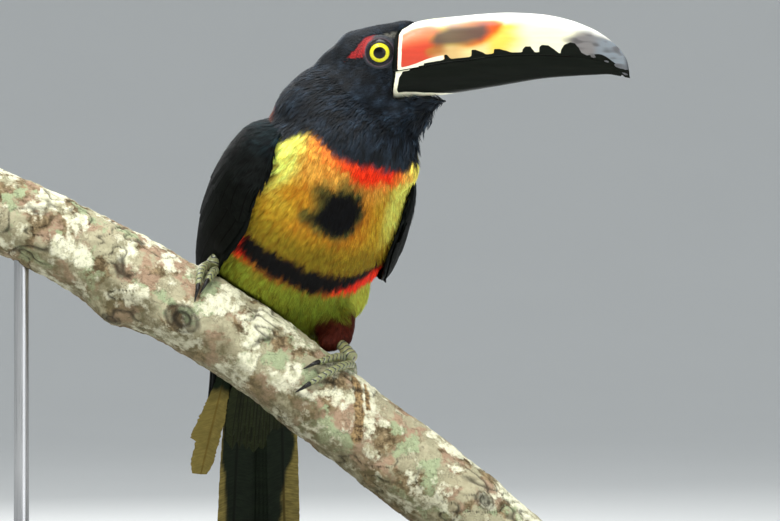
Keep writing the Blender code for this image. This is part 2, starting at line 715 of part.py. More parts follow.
def build_bird(cutters, group, finishes):
    spine = Spine()
    upper = loft("bill_upper", bill_rings(True), group, finishes["bill"])
    lower = loft("bill_lower", bill_rings(False), group, finishes["lower_bill"])
    eyes = [build_eye(f"eye_{side}", sign, group, finishes["eye"]) for side, sign in SIDES.items()]
    legs = {}
    for side, foot in FEET.items():
        thigh = build_thigh(side, foot, cutters, group, finishes["thigh"])
        cutters[f"thigh_{side}"] = grown(thigh, GAP, cutters["group"])
        shank, *toes = build_foot(side, foot, cutters, group, finishes)
        cut(thigh, toes)
        legs[side] = [cutters[f"thigh_{side}"], shank, *toes]

    body = build_body(spine, group)
    bm = bmesh.new()
    bm.from_mesh(body.data)
    body_tree = BVHTree.FromBMesh(bm)
    bm.free()
    cutters["body"] = grown(body, GAP, cutters["group"])
    fitted = [beyond_bill_base(cutters["group"])]
    fitted += [grown(part, GAP, cutters["group"]) for part in (upper, lower, *eyes)]
    body = cut(body, [*fitted, cutters["perch"], *legs["right"], *legs["left"]])
    planes = [(Vector(point), Vector(normal)) for point, normal in BODY_CUTS]
    planes.append((spine.at(RUMP_PLACE)[0], -spine.at(RUMP_PLACE)[1]))
    parted(body, planes, BODY_PARTS, group, [finishes[name] for name in BODY_PARTS])

    for side, sign in SIDES.items():
        wing = build_wing(spine, body_tree, side, -sign, group)
        wing = cut(wing, [cutters["body"], cutters["perch"], *legs[side]])
        cutters[f"wing_{side}"] = grown(wing, GAP, cutters["group"])
        planes = [(spine.at(place)[0], -spine.at(place)[1]) for place in WING_CUTS]
        names = [f"wing_{side}_{part}" for part in ("shoulder", "secondaries", "primaries")]
        parted(wing, planes, names, group, [finishes["wing"]] * 3)
    build_tail(spine, cutters, group, finishes)


def main():
    clear_scene()
    model = collection("collared_aracari")
    helpers = collection("cutters", helper=True)
    finishes = {
        "head": material("hood_plumage", (0.012, 0.014, 0.02), 0.55),
        "neck": material("neck_plumage", (0.014, 0.016, 0.024), 0.6),
        "breast": material("breast_plumage", (0.75, 0.42, 0.04), 0.75),
        "belly": material("belly_plumage", (0.45, 0.42, 0.06), 0.75),
        "rump": material("rump_plumage", (0.5, 0.02, 0.01), 0.75),
        "wing": material("wing_plumage", (0.015, 0.02, 0.018), 0.5),
        "thigh": material("thigh_plumage", (0.12, 0.02, 0.01), 0.8),
        "tail": material("tail_plumage", (0.03, 0.045, 0.03), 0.55),
        "worn_tail": material("worn_tail_plumage", (0.32, 0.24, 0.1), 0.65),
        "bill": material("bill_horn", (0.8, 0.74, 0.55), 0.3),
        "lower_bill": material("lower_bill_horn", (0.01, 0.01, 0.01), 0.3),
        "eye": material("eye", (0.8, 0.7, 0.02), 0.1),
        "foot": material("foot_scales", (0.14, 0.15, 0.09), 0.5),
        "claw": material("claw_horn", (0.03, 0.028, 0.025), 0.35),
        "bark": material("bark", (0.42, 0.36, 0.28), 0.9),
        "stand": material("stand_lacquer", (0.03, 0.03, 0.032), 0.35),
        "metal": material("stand_steel", (0.35, 0.35, 0.36), 0.35, 1.0),
    }
    perch = build_perch(model, finishes["bark"])
    cutters = {"group": helpers, "perch": grown(perch, GAP, helpers)}
    build_stand(model, finishes, cutters["perch"])
    build_bird(cutters, model, finishes)


main()
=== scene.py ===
from math import cos, hypot, pi, radians, sin, sqrt

import bmesh
import bpy
import numpy as np
from mathutils import Matrix, Vector
from mathutils.bvhtree import BVHTree


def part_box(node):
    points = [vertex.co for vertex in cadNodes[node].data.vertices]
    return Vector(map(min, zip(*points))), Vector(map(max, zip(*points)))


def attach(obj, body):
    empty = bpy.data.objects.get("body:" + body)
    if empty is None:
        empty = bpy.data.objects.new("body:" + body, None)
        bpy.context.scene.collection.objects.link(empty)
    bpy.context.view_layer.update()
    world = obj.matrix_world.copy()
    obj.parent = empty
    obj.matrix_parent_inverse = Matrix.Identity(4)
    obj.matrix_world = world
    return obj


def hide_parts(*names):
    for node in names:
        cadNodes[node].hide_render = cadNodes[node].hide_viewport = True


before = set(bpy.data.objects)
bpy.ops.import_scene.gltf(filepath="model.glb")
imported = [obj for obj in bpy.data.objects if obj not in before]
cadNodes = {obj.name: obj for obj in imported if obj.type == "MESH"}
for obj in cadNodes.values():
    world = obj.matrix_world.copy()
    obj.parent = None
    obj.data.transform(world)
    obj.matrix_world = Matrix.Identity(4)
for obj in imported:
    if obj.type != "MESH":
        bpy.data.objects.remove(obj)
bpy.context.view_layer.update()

# Lengths below are in millimetres, and mm turns them into the scene's metres.
# X runs to the bird's left, the way the bill points, Y to its back and Z up.
mm = 0.001
sides = {"right": -1, "left": 1}


# Curves and numbers

def unit(vectors):
    return vectors / np.maximum(np.linalg.norm(vectors, axis=-1, keepdims=True), 1e-9)


def turnsOf(count):
    # angles evenly spaced over a full turn
    return np.linspace(0, 2 * pi, count, endpoint=False)


def dots(a, b):
    return np.einsum("ij,ij->i", a, b)


def laidOn(ways, normals):
    # ways turned to lie along a surface
    return unit(ways - normals * dots(ways, normals)[:, None])


def runLength(points):
    # how far along a line each of its points lies
    return np.concatenate([[0], np.cumsum(np.linalg.norm(np.diff(points, axis=0), axis=1))])


def ease(low, high, value):
    share = np.clip((value - low) / (high - low), 0, 1)
    return share * share * (3 - 2 * share)


def smoothCurve(points, count):
    # evenly spaced points on a Catmull-Rom curve through the given ones
    p = np.array(points, float)
    p = np.vstack([2 * p[0] - p[1], p, 2 * p[-1] - p[-2]])
    t = np.linspace(0, 1, 24, endpoint=False)[:, None]
    found = [
        0.5 * (2 * b + (c - a) * t + (2 * a - 5 * b + 4 * c - d) * t**2 + (3 * b - a - 3 * c + d) * t**3)
        for a, b, c, d in zip(p, p[1:], p[2:], p[3:])
    ]
    found = np.vstack([*found, p[-2]])
    length = runLength(found)
    at = np.linspace(0, length[-1], count)
    return np.column_stack([np.interp(at, length, found[:, i]) for i in range(p.shape[1])])


def readCurve(rows, at):
    # a smooth curve through (place, value) rows, read at places
    line = smoothCurve(rows, 200)
    return np.interp(at, line[:, 0], line[:, 1])


def speckle(points, size, seed=0):
    # smooth noise from 0 to 1 with lumps of about the given size
    p = np.asarray(points, float) / size
    cell = np.floor(p).astype(np.int64)
    f = p - cell
    f = f * f * (3 - 2 * f)
    total = np.zeros(len(p))
    for dx, dy, dz in np.ndindex(2, 2, 2):
        h = (cell[:, 0] + dx) * 374761393 + (cell[:, 1] + dy) * 668265263
        h = (h + (cell[:, 2] + dz) * 1440662683 + seed * 1274126177) & 0x7FFFFFFF
        h = ((h ^ (h >> 13)) * 1274126177) & 0x7FFFFFFF
        value = ((h ^ (h >> 16)) & 0xFFFF) / 65535
        weight = np.where(dx, f[:, 0], 1 - f[:, 0]) * np.where(dy, f[:, 1], 1 - f[:, 1])
        total += value * weight * np.where(dz, f[:, 2], 1 - f[:, 2])
    return total


def insideOutline(outline, x, y):
    # how far points lie inside a closed outline, below 0 where they are outside
    corners = np.array(outline, float)
    nearest = np.full(len(x), 1e9)
    inside = np.zeros(len(x), bool)
    for (ax, ay), (bx, by) in zip(corners, np.roll(corners, -1, axis=0)):
        dx, dy = bx - ax, by - ay
        t = np.clip(((x - ax) * dx + (y - ay) * dy) / (dx * dx + dy * dy), 0, 1)
        nearest = np.minimum(nearest, np.hypot(x - ax - t * dx, y - ay - t * dy))
        if dy:
            inside ^= ((ay > y) != (by > y)) & (x < ax + (y - ay) * dx / dy)
    return np.where(inside, nearest, -nearest)


def paint(base, colour, amount):
    amount = np.clip(amount, 0, 1)[:, None]
    return base * (1 - amount) + np.array(colour) * amount


# Meshes

def showPiece(name, mesh, finish=None):
    piece = bpy.data.objects.new(name, mesh)
    bpy.context.scene.collection.objects.link(piece)
    if finish:
        mesh.materials.clear()
        mesh.materials.append(finish)
    return piece


def bind(piece, slot, *nodes):
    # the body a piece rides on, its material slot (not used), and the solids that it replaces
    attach(piece, "root")
    if nodes:
        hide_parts(*nodes)


def meshFrom(name, points, faces):
    # points in millimetres
    mesh = bpy.data.meshes.new(name)
    mesh.from_pydata((np.asarray(points) * mm).tolist(), [], faces)
    mesh.shade_smooth()
    return mesh


def tubeFaces(rows, columns, start=0, closed=True):
    # faces over rows of points that run round a tube, or over a sheet
    faces = []
    for row in range(rows - 1):
        for column in range(columns if closed else columns - 1):
            a = start + row * columns + column
            b = start + row * columns + (column + 1) % columns
            faces.append((a, b, b + columns, a + columns))
    return faces


def outward(mesh, merge=0.004):
    # doubles merged and every face turned outwards
    bm = bmesh.new()
    bm.from_mesh(mesh)
    if merge:
        bmesh.ops.remove_doubles(bm, verts=bm.verts, dist=merge * mm)
    bmesh.ops.recalc_face_normals(bm, faces=bm.faces)
    bm.to_mesh(mesh)
    bm.free()
    mesh.shade_smooth()
    return mesh


def loftPiece(name, rings, finish=None, ends=True, fields=None):
    # a skin over closed rings of points, its ends closed by fans, with fields stored for the finish
    rings = np.asarray(rings, float)
    rows, columns = rings.shape[:2]
    points = rings.reshape(-1, 3)
    faces = tubeFaces(rows, columns)
    if ends:
        points = np.vstack([points, rings[0].mean(0), rings[-1].mean(0)])
        for column in range(columns):
            after = (column + 1) % columns
            faces.append((after, column, rows * columns))
            faces.append(((rows - 1) * columns + column, (rows - 1) * columns + after, rows * columns + 1))
    mesh = meshFrom(name, points, faces)
    for label, values in (fields or {}).items():
        values = np.asarray(values, float).reshape(rows * columns, -1)
        if ends:
            values = np.vstack([values, values[:columns].mean(0), values[-columns:].mean(0)])
        storeField(mesh, label, values)
    outward(mesh)
    return showPiece(name, mesh, finish)


def storeField(mesh, name, values):
    values = np.asarray(values, np.float32)
    width = values.shape[1] if values.ndim > 1 else 1
    kind, key = {1: ("FLOAT", "value"), 3: ("FLOAT_VECTOR", "vector"), 4: ("FLOAT_COLOR", "color")}[width]
    stored = mesh.attributes.get(name) or mesh.attributes.new(name, kind, "POINT")
    stored.data.foreach_set(key, np.ascontiguousarray(values).ravel())


def storeFields(mesh, **fields):
    for name, values in fields.items():
        storeField(mesh, name, values)


def storeColour(mesh, name, colours):
    storeField(mesh, name, np.column_stack([colours, np.ones(len(colours))]))


def readPoints(mesh, what="co"):
    found = np.zeros(len(mesh.vertices) * 3, np.float32)
    if what == "co":
        mesh.vertices.foreach_get("co", found)
        return found.reshape(-1, 3).astype(float) / mm
    mesh.vertex_normals.foreach_get("vector", found)
    return found.reshape(-1, 3).astype(float)


def treeOf(*meshes):
    bm = bmesh.new()
    for mesh in meshes:
        bm.from_mesh(mesh)
    tree = BVHTree.FromBMesh(bm)
    bm.free()
    return tree


def plainMesh(piece):
    # the piece's mesh with its modifiers applied
    graph = bpy.context.evaluated_depsgraph_get()
    mesh = bpy.data.meshes.new_from_object(piece.evaluated_get(graph))
    bpy.data.objects.remove(piece)
    return mesh


def gathered(name, meshes, merge=0.0):
    # several meshes in one
    bm = bmesh.new()
    for mesh in meshes:
        bm.from_mesh(mesh)
    if merge:
        bmesh.ops.remove_doubles(bm, verts=bm.verts, dist=merge * mm)
    joined = bpy.data.meshes.new(name)
    bm.to_mesh(joined)
    bm.free()
    return joined


def remelt(name, meshes, voxel, swell, smoothing):
    # several solids melted into one surface of even small faces
    piece = showPiece(name, gathered(name, meshes, 0.01))
    grow = piece.modifiers.new("grow", "DISPLACE")
    grow.strength = swell * mm
    grow.mid_level = 0
    blend = piece.modifiers.new("blend", "REMESH")
    blend.mode = "VOXEL"
    blend.voxel_size = voxel * mm
    soften = piece.modifiers.new("soften", "SMOOTH")
    soften.factor = 0.5
    soften.iterations = smoothing
    mesh = plainMesh(piece)
    mesh.shade_smooth()
    return mesh


def joinPieces(name, pieces, finish=None):
    mesh = gathered(name, [piece.data for piece in pieces])
    mesh.shade_smooth()
    for piece in pieces:
        bpy.data.objects.remove(piece)
    return showPiece(name, mesh, finish)


# Finishes

workbench = {"tree": None}  # the node tree that is being built


def addNode(kind, inputs=None, **settings):
    tree = workbench["tree"]
    node = tree.nodes.new(kind)
    for name, value in settings.items():
        setattr(node, name, value)
    for name, value in (inputs or {}).items():
        if isinstance(value, bpy.types.NodeSocket):
            tree.links.new(value, node.inputs[name])
        else:
            node.inputs[name].default_value = value
    return node


def newFinish(name, **numbers):
    # a material and its Principled shader; numbers are set on the shader's own sockets
    finish = bpy.data.materials.new(name)
    finish.use_nodes = True
    shader = finish.node_tree.nodes["Principled BSDF"]
    for socket, value in numbers.items():
        shader.inputs[socket.replace("_", " ")].default_value = value
    workbench["tree"] = finish.node_tree
    return finish, shader


def field(name):
    return addNode("ShaderNodeAttribute", attribute_name=name).outputs


def noise(scale, detail=3, vector=None, rough=0.55, bend=0.0):
    if vector is None:
        vector = addNode("ShaderNodeTexCoord").outputs["Object"]
    values = {"Vector": vector, "Scale": scale, "Detail": detail, "Roughness": rough, "Distortion": bend}
    return addNode("ShaderNodeTexNoise", values).outputs["Fac"]


def stretched(scale, turn=(0, 0, 0)):
    place = addNode("ShaderNodeTexCoord").outputs["Object"]
    return addNode("ShaderNodeMapping", {"Vector": place, "Scale": scale, "Rotation": turn}).outputs["Vector"]


def calc(operation, a, b=0.0):
    return addNode("ShaderNodeMath", {0: a, 1: b}, operation=operation).outputs[0]


def times(a, b):
    return calc("MULTIPLY", a, b)


def plus(a, b):
    return calc("ADD", a, b)


def minus(a, b):
    return calc("SUBTRACT", a, b)


def combined(x=0.0, y=0.0, z=0.0):
    return addNode("ShaderNodeCombineXYZ", {0: x, 1: y, 2: z}).outputs[0]


def step(value, low, high, bottom=0.0, top=1.0):
    inputs = {"Value": value, "From Min": low, "From Max": high, "To Min": bottom, "To Max": top}
    return addNode("ShaderNodeMapRange", inputs, interpolation_type="SMOOTHSTEP").outputs["Result"]


def mixed(amount, a, b, way="MIX"):
    a, b = ((*v, 1) if isinstance(v, tuple) and len(v) == 3 else v for v in (a, b))
    return addNode("ShaderNodeMix", {0: amount, 6: a, 7: b}, data_type="RGBA", blend_type=way).outputs[2]


def tinted(a, b):
    return mixed(1.0, a, b, "MULTIPLY")


def pebbled(scale):
    # distance from the middle of the nearest cell
    inputs = {"Vector": stretched((1, 1, 1)), "Scale": scale}
    return addNode("ShaderNodeTexVoronoi", inputs).outputs["Distance"]


def wire(shader, socket, value):
    shader.id_data.links.new(value, shader.inputs[socket])


def relief(shader, height, strength, distance):
    inputs = {"Height": height, "Strength": strength, "Distance": distance * mm}
    wire(shader, "Normal", addNode("ShaderNodeBump", inputs).outputs["Normal"])


# Camera, floor and light

camera = {"lens": 200, "place": (57.5, -2008, 209.1)}
studio = {"flat": 3000, "bend": 3800, "height": 5200, "turns": 96}
# lamps: place, size, power and colour; all look at the middle of the model
lampAim = (0.02, 0, 0.22)
lamps = {
    "keyLamp": ((-0.45, -0.9, 1.55), (0.8, 0.6), 27, (1, 0.99, 0.95)),
    "topLamp": ((0.1, 0.15, 1.5), (0.9, 0.9), 15, (0.97, 0.99, 1)),
    "fillLamp": ((0.9, -1.1, 0.45), (0.7, 0.9), 4.5, (0.95, 0.98, 1)),
    "backLamp": ((-0.5, 1.2, 0.9), (0.9, 0.8), 9, (1, 1, 1)),
}


def placeCamera():
    data = bpy.data.cameras.new("camera")
    data.lens = camera["lens"]
    data.sensor_width = 36
    data.clip_end = 20
    eyepiece = bpy.data.objects.new("camera", data)
    eyepiece.location = Vector(camera["place"]) * mm
    eyepiece.rotation_euler = (pi / 2, 0, 0)
    bpy.context.scene.collection.objects.link(eyepiece)
    bpy.context.scene.camera = eyepiece
    bpy.context.scene.view_settings.view_transform = "Standard"


def buildStudio():
    # a pale floor that curves up into a wall all round
    finish, shader = newFinish("studioPaper", Roughness=0.9, Specular_IOR_Level=0.1)
    tint = mixed(noise(3.0, 2), (0.80, 0.81, 0.80), (0.83, 0.84, 0.83))
    wire(shader, "Base Color", tint)
    profile = [(r, 0) for r in (1, 400, 1200, 2200)]
    for a in np.radians(np.linspace(0, 90, 16)):
        profile.append((studio["flat"] + studio["bend"] * sin(a), studio["bend"] * (1 - cos(a))))
    profile.append((profile[-1][0], studio["height"]))
    turns = turnsOf(studio["turns"])
    points = [(r * cos(t), r * sin(t), z) for r, z in profile for t in turns]
    faces = tubeFaces(len(profile), studio["turns"])
    faces.append(tuple(range(studio["turns"])))
    showPiece("studioFloor", meshFrom("studioFloor", points, faces), finish)


def addLamp(name, place, size, power, colour):
    data = bpy.data.lights.new(name, "AREA")
    data.shape = "RECTANGLE"
    data.size, data.size_y = size
    data.energy = power
    data.color = colour
    lamp = bpy.data.objects.new(name, data)
    lamp.location = place
    lamp.rotation_euler = (Vector(lampAim) - Vector(place)).to_track_quat("-Z", "Y").to_euler()
    bpy.context.scene.collection.objects.link(lamp)


def lightStudio():
    world = bpy.data.worlds.new("studioAir")
    bpy.context.scene.world = world
    world.use_nodes = True
    air = world.node_tree.nodes["Background"]
    air.inputs["Color"].default_value = (0.9, 0.95, 1.0, 1)
    air.inputs["Strength"].default_value = 0.5
    for name, (place, size, power, colour) in lamps.items():
        addLamp(name, place, size, power, colour)


placeCamera()
buildStudio()
lightStudio()
print("studio made")


# The branch

branch = {
    "depth": -15,
    "line": ((-134, 237), (-99, 221), (-53, 196.5), (-7, 169.5), (39, 134.5), (85, 100), (138, 58)),
    "radii": (18.3, 18.8, 19.8, 19.4, 19.8, 19.4, 18.6),
    # swellings: x, angle from the top to the front, height, length, spread
    "swellings": ((-62, 155, 4.5, 10, 32), (-35, 103, 1.8, 8, 26), (41, 84, 1.6, 9, 28),
        (90, 62, 2.2, 9, 28)),
    # knots: x, angle, radius, depth
    "knots": ((-35, 102, 6.4, 1.6), (95, 63, 3.6, 1.4), (-60, 150, 3.6, 1.0), (20, 205, 4.6, 1.2)),
    # places where the bark has peeled: a line of x and angle, and half a width
    "peeled": (((30.5, 24), (36, 52), (43.5, 97), 2.1), ((34.5, 20), (41, 58), 1.0),
        ((-16, 250), (-4, 262), 7)),
    # places of painted shade on the bark: x, angle, length, spread
    "paintedShadePatches": ((20, 110, 10, 27), (86, 118, 15, 20), (-60, 128, 13, 20)),
    "rows": 420,
    "columns": 168,
}


def branchCourse(x):
    rows = [(px, branch["depth"], pz, r) for (px, pz), r in zip(branch["line"], branch["radii"])]
    line = smoothCurve(rows, 400)
    centre = np.array([x, np.interp(x, line[:, 0], line[:, 1]), np.interp(x, line[:, 0], line[:, 2])])
    rise = np.interp(x + 3, line[:, 0], line[:, 2]) - np.interp(x - 3, line[:, 0], line[:, 2])
    along = np.array([6, 0, rise]) / hypot(6, rise)
    return centre, along, np.interp(x, line[:, 0], line[:, 3]), np.array([-along[2], 0, along[0]])


def turned(angle, at):
    return (angle - at + 180) % 360 - 180


def branchRadius(x, angle, radius):
    for place, bumpAngle, height, length, spread in branch["swellings"]:
        radius = radius + height * np.exp(-(((x - place) / length) ** 2)
            - (turned(angle, bumpAngle) / spread) ** 2)
    return radius


def branchPoint(x, angle, height=0.0):
    centre, _, radius, top = branchCourse(x)
    a = radians(angle)
    return centre + (top * cos(a) + np.array([0, -1, 0]) * sin(a)) * (
        branchRadius(x, angle, radius) + height)


def barkFinish():
    # brown bark under pale, whitish and grey-green crusts of lichen, with dark squiggles and specks
    finish, shader = newFinish("bark", Roughness=0.88, Specular_IOR_Level=0.2)
    crease = field("crease")["Fac"]
    peel = field("peel")["Fac"]
    fine = noise(1500, 4)
    mottle = noise(260, 7, rough=0.68)
    grain = noise(1.0, 5, stretched((240, 700, 800), (0, radians(-36), 0)), rough=0.65)
    bark = mixed(step(mottle, 0.36, 0.64), (0.075, 0.05, 0.022), (0.34, 0.25, 0.135))
    rosy = mixed(grain, (0.25, 0.155, 0.09), (0.55, 0.39, 0.27))
    bark = mixed(step(noise(62, 6), 0.46, 0.56, 0, 0.9), bark, rosy)
    dull = mixed(mottle, (0.22, 0.20, 0.11), (0.66, 0.63, 0.43))
    bark = mixed(step(noise(70, 8, rough=0.62), 0.46, 0.54, 0, 0.85), bark, dull)
    green = mixed(fine, (0.20, 0.26, 0.12), (0.50, 0.58, 0.36))
    moss = step(noise(58, 8, stretched((1, 1, 1), (1, 2, 0.5)), rough=0.64), 0.55, 0.60, 0, 0.85)
    bark = mixed(moss, bark, green)
    lichen = mixed(step(mottle, 0.3, 0.62), (0.52, 0.51, 0.33), (0.86, 0.84, 0.63))
    blots = plus(times(noise(74, 4, stretched((1, 1, 1), (2, 0.4, 1)), rough=0.5), 0.72),
                 times(mottle, 0.28))
    crust = step(blots, 0.492, 0.56)
    bark = mixed(times(crust, 0.93), bark, lichen)
    bark = mixed(step(calc("ABSOLUTE", minus(blots, 0.482)), 0.0, 0.016, 0.35, 0), bark, (0.10, 0.085, 0.045))
    line = calc("ABSOLUTE", minus(noise(330, 3, rough=0.5), 0.5))
    some = step(noise(110, 5), 0.46, 0.56)
    cracks = times(step(line, 0.003, 0.02, 1, 0), times(some, step(mottle, 0.35, 0.6)))
    bark = mixed(times(cracks, 0.45), bark, (0.05, 0.04, 0.022))
    specks = step(noise(640, 4, rough=0.7), 0.60, 0.70, 0, 0.7)
    bark = mixed(specks, bark, (0.06, 0.05, 0.03))
    stain = step(noise(120, 7, rough=0.7), 0.60, 0.68, 0, 0.75)
    bark = mixed(stain, bark, (0.07, 0.05, 0.025))
    bare = mixed(step(noise(330, 6, rough=0.75), 0.36, 0.62), (0.055, 0.03, 0.014), (0.44, 0.30, 0.14))
    bark = mixed(peel, bark, bare)
    # painted shade on the underside and in the shaded patches, mixed into the bark's colour
    low = times(field("paintedUnderShade")["Fac"], step(mottle, 0.35, 0.6, 1, 0.6))
    bark = mixed(low, bark, mixed(fine, (0.045, 0.038, 0.018), (0.16, 0.13, 0.06)))
    # painted shade in the furrows; round the knots the same mask carries their own dark rings and swirls
    bark = mixed(crease, bark, (0.022, 0.017, 0.010))
    wire(shader, "Base Color", bark)
    height = plus(times(fine, 0.4), times(crust, 0.35))
    height = minus(height, times(cracks, 0.5))
    height = plus(height, times(mottle, 1.0))
    relief(shader, plus(height, times(grain, 0.4)), 0.8, 0.7)
    wire(shader, "Roughness", step(fine, 0.3, 0.7, 0.78, 0.95))
    return finish


def woodFinish():
    finish, shader = newFinish("cutWood", Roughness=0.75)
    ring = field("ring")["Fac"]
    waves = calc("SINE", times(plus(ring, noise(120, 3)), 7.0))
    wood = mixed(step(waves, -0.6, 0.9), (0.42, 0.27, 0.14), (0.62, 0.46, 0.28))
    wood = mixed(step(noise(1400, 2), 0.5, 0.7, 0, 0.4), wood, (0.25, 0.15, 0.08))
    wire(shader, "Base Color", wood)
    relief(shader, waves, 0.25, 0.2)
    return finish


def buildBranch():
    rows, columns = branch["rows"], branch["columns"]
    angles = np.arange(columns) * 360 / columns
    low, high = branch["line"][0][0], branch["line"][-1][0]
    xs = np.linspace(low + 0.2, high - 0.2, rows)
    centres, courses, radii, tops = (np.array(v) for v in zip(*[branchCourse(x) for x in xs]))
    a = np.radians(angles)
    spokes = tops[:, None] * np.cos(a)[None, :, None] + np.array([0, -1, 0]) * np.sin(a)[None, :, None]
    radius = branchRadius(xs[:, None], angles[None], radii[:, None])
    flat = (centres[:, None] + spokes * radius[..., None]).reshape(-1, 3)
    # bark: broad lumps, long furrows, scaly crust and small warts, none of it far above the solid
    lumps = ((16, 1.0), (5, 0.9), (2.2, 0.55))
    lift = sum((speckle(flat, size, 1 + i) - 0.5) * height for i, (size, height) in enumerate(lumps))
    ridged = np.abs(speckle(flat * (0.45, 1, 1), 4.2, 4) - 0.5) * 2
    crease = ease(0.14, 0.0, ridged) * ease(0.5, 0.66, speckle(flat, 22, 5))
    crust = ease(0.52, 0.6, speckle(flat, 14, 6) * 0.6 + speckle(flat, 4, 7) * 0.4)
    warts = ease(0.80, 0.9, speckle(flat, 1.7, 8))
    lift += crust * 0.35 + warts * 0.3 - crease * 0.8
    lift = lift.reshape(rows, columns)
    # the furrows are also darkened in the finish, which is painted shade
    crease = crease.reshape(rows, columns) * 0.85
    peel = np.zeros((rows, columns))
    x, angle = np.meshgrid(xs, angles, indexing="ij")
    wobble = (speckle(flat, 3.5, 9).reshape(rows, columns) - 0.5)
    for place, at, size, depth in branch["knots"]:
        far = np.hypot(x - place, turned(angle, at) * radius * pi / 180 * 1.15) / size + wobble * 0.25
        swirl = 0.5 + 0.5 * np.cos(far * 11)
        rim = 1.3 * np.exp(-((far - 1.0) / 0.3) ** 2) - depth * ease(0.75, 0.25, far)
        lift += rim + 0.3 * swirl * ease(1.5, 0.8, far)
        crease = np.maximum(crease, ease(1.25, 1.0, far) * (0.45 + 0.5 * swirl))
        crease = np.maximum(crease, ease(0.8, 1, swirl) * ease(1.7, 1.2, far) * 0.35)
    for *line, half in branch["peeled"]:
        far = np.full(x.shape, 99.0)
        for (xa, ta), (xb, tb) in zip(line, line[1:]):
            across, around = x - xa, turned(angle, ta) * 0.34
            reach = np.array((xb - xa, (tb - ta) * 0.34))
            t = np.clip((across * reach[0] + around * reach[1]) / (reach @ reach), 0, 1)
            far = np.minimum(far, np.hypot(across - t * reach[0], around - t * reach[1]))
        far = far / half + wobble * 1.3
        peel = np.maximum(peel, ease(1.05, 0.9, far))
        lift -= 0.45 * ease(1.05, 0.92, far)
    lift = np.clip(lift - 0.35, -2.2, 0.45)
    rim = np.minimum(ease(0, 2.2, xs - xs[0]), ease(0, 2.2, xs[-1] - xs))[:, None]
    lift = lift * (0.4 + 0.6 * rim) - 0.5 * (1 - rim)
    rings = centres[:, None] + spokes * (radius + lift)[..., None]
    drift = (speckle(flat, 9, 11).reshape(rows, columns) - 0.5) * 60
    # painted shade: the bark darkens towards its underside, where the light from above does not reach
    paintedUnderShade = ease(92, 134, angle + drift) * ease(262, 214, angle)
    # painted shade in a few patches, added to the shade of the underside
    for place, at, length, spread in branch["paintedShadePatches"]:
        far = np.hypot((x - place) / length, turned(angle, at) / spread) + wobble * 1.3
        paintedUnderShade = np.maximum(paintedUnderShade, ease(1.15, 0.6, far))
    fields = {"crease": crease, "peel": peel, "paintedUnderShade": paintedUnderShade * 0.9}
    bark = loftPiece("branchBark", rings, barkFinish(), ends=False, fields=fields)
    # the sawn ends: rings of wood that step slightly in from the bark
    caps = []
    for end, outer in (("high", rings[0]), ("low", rings[-1])):
        middle = outer.mean(0)
        shares = np.linspace(1, 0.02, 26)
        cap = np.array([middle + (outer - middle) * s for s in shares])
        ring = np.repeat((1 - shares) * 19, columns)
        flatCap = cap.reshape(-1, 3)
        rough = speckle(flatCap * (1, 6, 1), 3, 10).reshape(26, columns, 1) - 0.5
        cap += rough * 0.25 * courses[0 if end == "high" else -1]
        points = cap.reshape(-1, 3)
        faces = tubeFaces(26, columns)
        faces.append(tuple(range(25 * columns, 26 * columns)))
        mesh = meshFrom("cap", points, faces)
        storeField(mesh, "ring", ring)
        bm = bmesh.new()
        bm.from_mesh(mesh)
        out = -courses[0] if end == "high" else courses[-1]
        bm.faces.ensure_lookup_table()
        bm.normal_update()
        if Vector(out).dot(bm.faces[-1].normal) < 0:
            bmesh.ops.reverse_faces(bm, faces=bm.faces)
        bm.to_mesh(mesh)
        bm.free()
        caps.append(showPiece("cap", mesh))
    ends = joinPieces("branchEnds", caps, woodFinish())
    for piece in (bark, ends):
        bind(piece, "bark")
    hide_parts("perch_branch")
    print("branch made:", len(bark.data.polygons) + len(ends.data.polygons), "faces")


buildBranch()


# The display stand

stand = {
    "size": (290, 156, 12),
    "corner": 24,
    "edge": 1.6,
    "rod": 3.5,
    "flange": 11,
    "flangeHeight": 4,
    "gap": 0.35,
}


def lacquerFinish():
    finish, shader = newFinish("blackLacquer", Roughness=0.32, Coat_Weight=0.35, Coat_Roughness=0.12)
    grain = noise(1.0, 5, stretched((14, 260, 260)), bend=0.4)
    wire(shader, "Base Color", mixed(grain, (0.016, 0.015, 0.015), (0.034, 0.032, 0.031)))
    wire(shader, "Roughness", step(noise(90, 4), 0.3, 0.7, 0.26, 0.42))
    relief(shader, grain, 0.12, 0.15)
    return finish


def steelFinish():
    finish, shader = newFinish("brushedSteel", Metallic=1.0)
    brushed = noise(1.0, 3, stretched((3200, 3200, 25)))
    wire(shader, "Base Color", mixed(brushed, (0.42, 0.42, 0.43), (0.60, 0.60, 0.61)))
    wire(shader, "Roughness", step(brushed, 0.2, 0.8, 0.24, 0.4))
    relief(shader, brushed, 0.1, 0.05)
    return finish


def buildBase():
    width, depth, height = stand["size"]
    corner, edge = stand["corner"], stand["edge"]
    arc = np.radians(np.linspace(0, 90, 6))
    profile = [(edge * (1 - sin(a)), edge * (1 - cos(a))) for a in arc]
    profile += [(edge * (1 - cos(a)), height - edge * (1 - sin(a))) for a in arc]
    rings = []
    for inset, z in profile:
        ring = []
        for quarter, (sx, sy) in enumerate(((1, 1), (-1, 1), (-1, -1), (1, -1))):
            for a in np.radians(np.linspace(0, 90, 15)) + quarter * pi / 2:
                reach = corner - inset
                ring.append(((width / 2 - corner) * sx + reach * cos(a),
                             (depth / 2 - corner) * sy + reach * sin(a), z))
        rings.append(ring)
    base = loftPiece("stand_plinth", rings, lacquerFinish())
    base.data.set_sharp_from_angle(angle=radians(40))
    bind(base, "stand_lacquer", "stand_base")


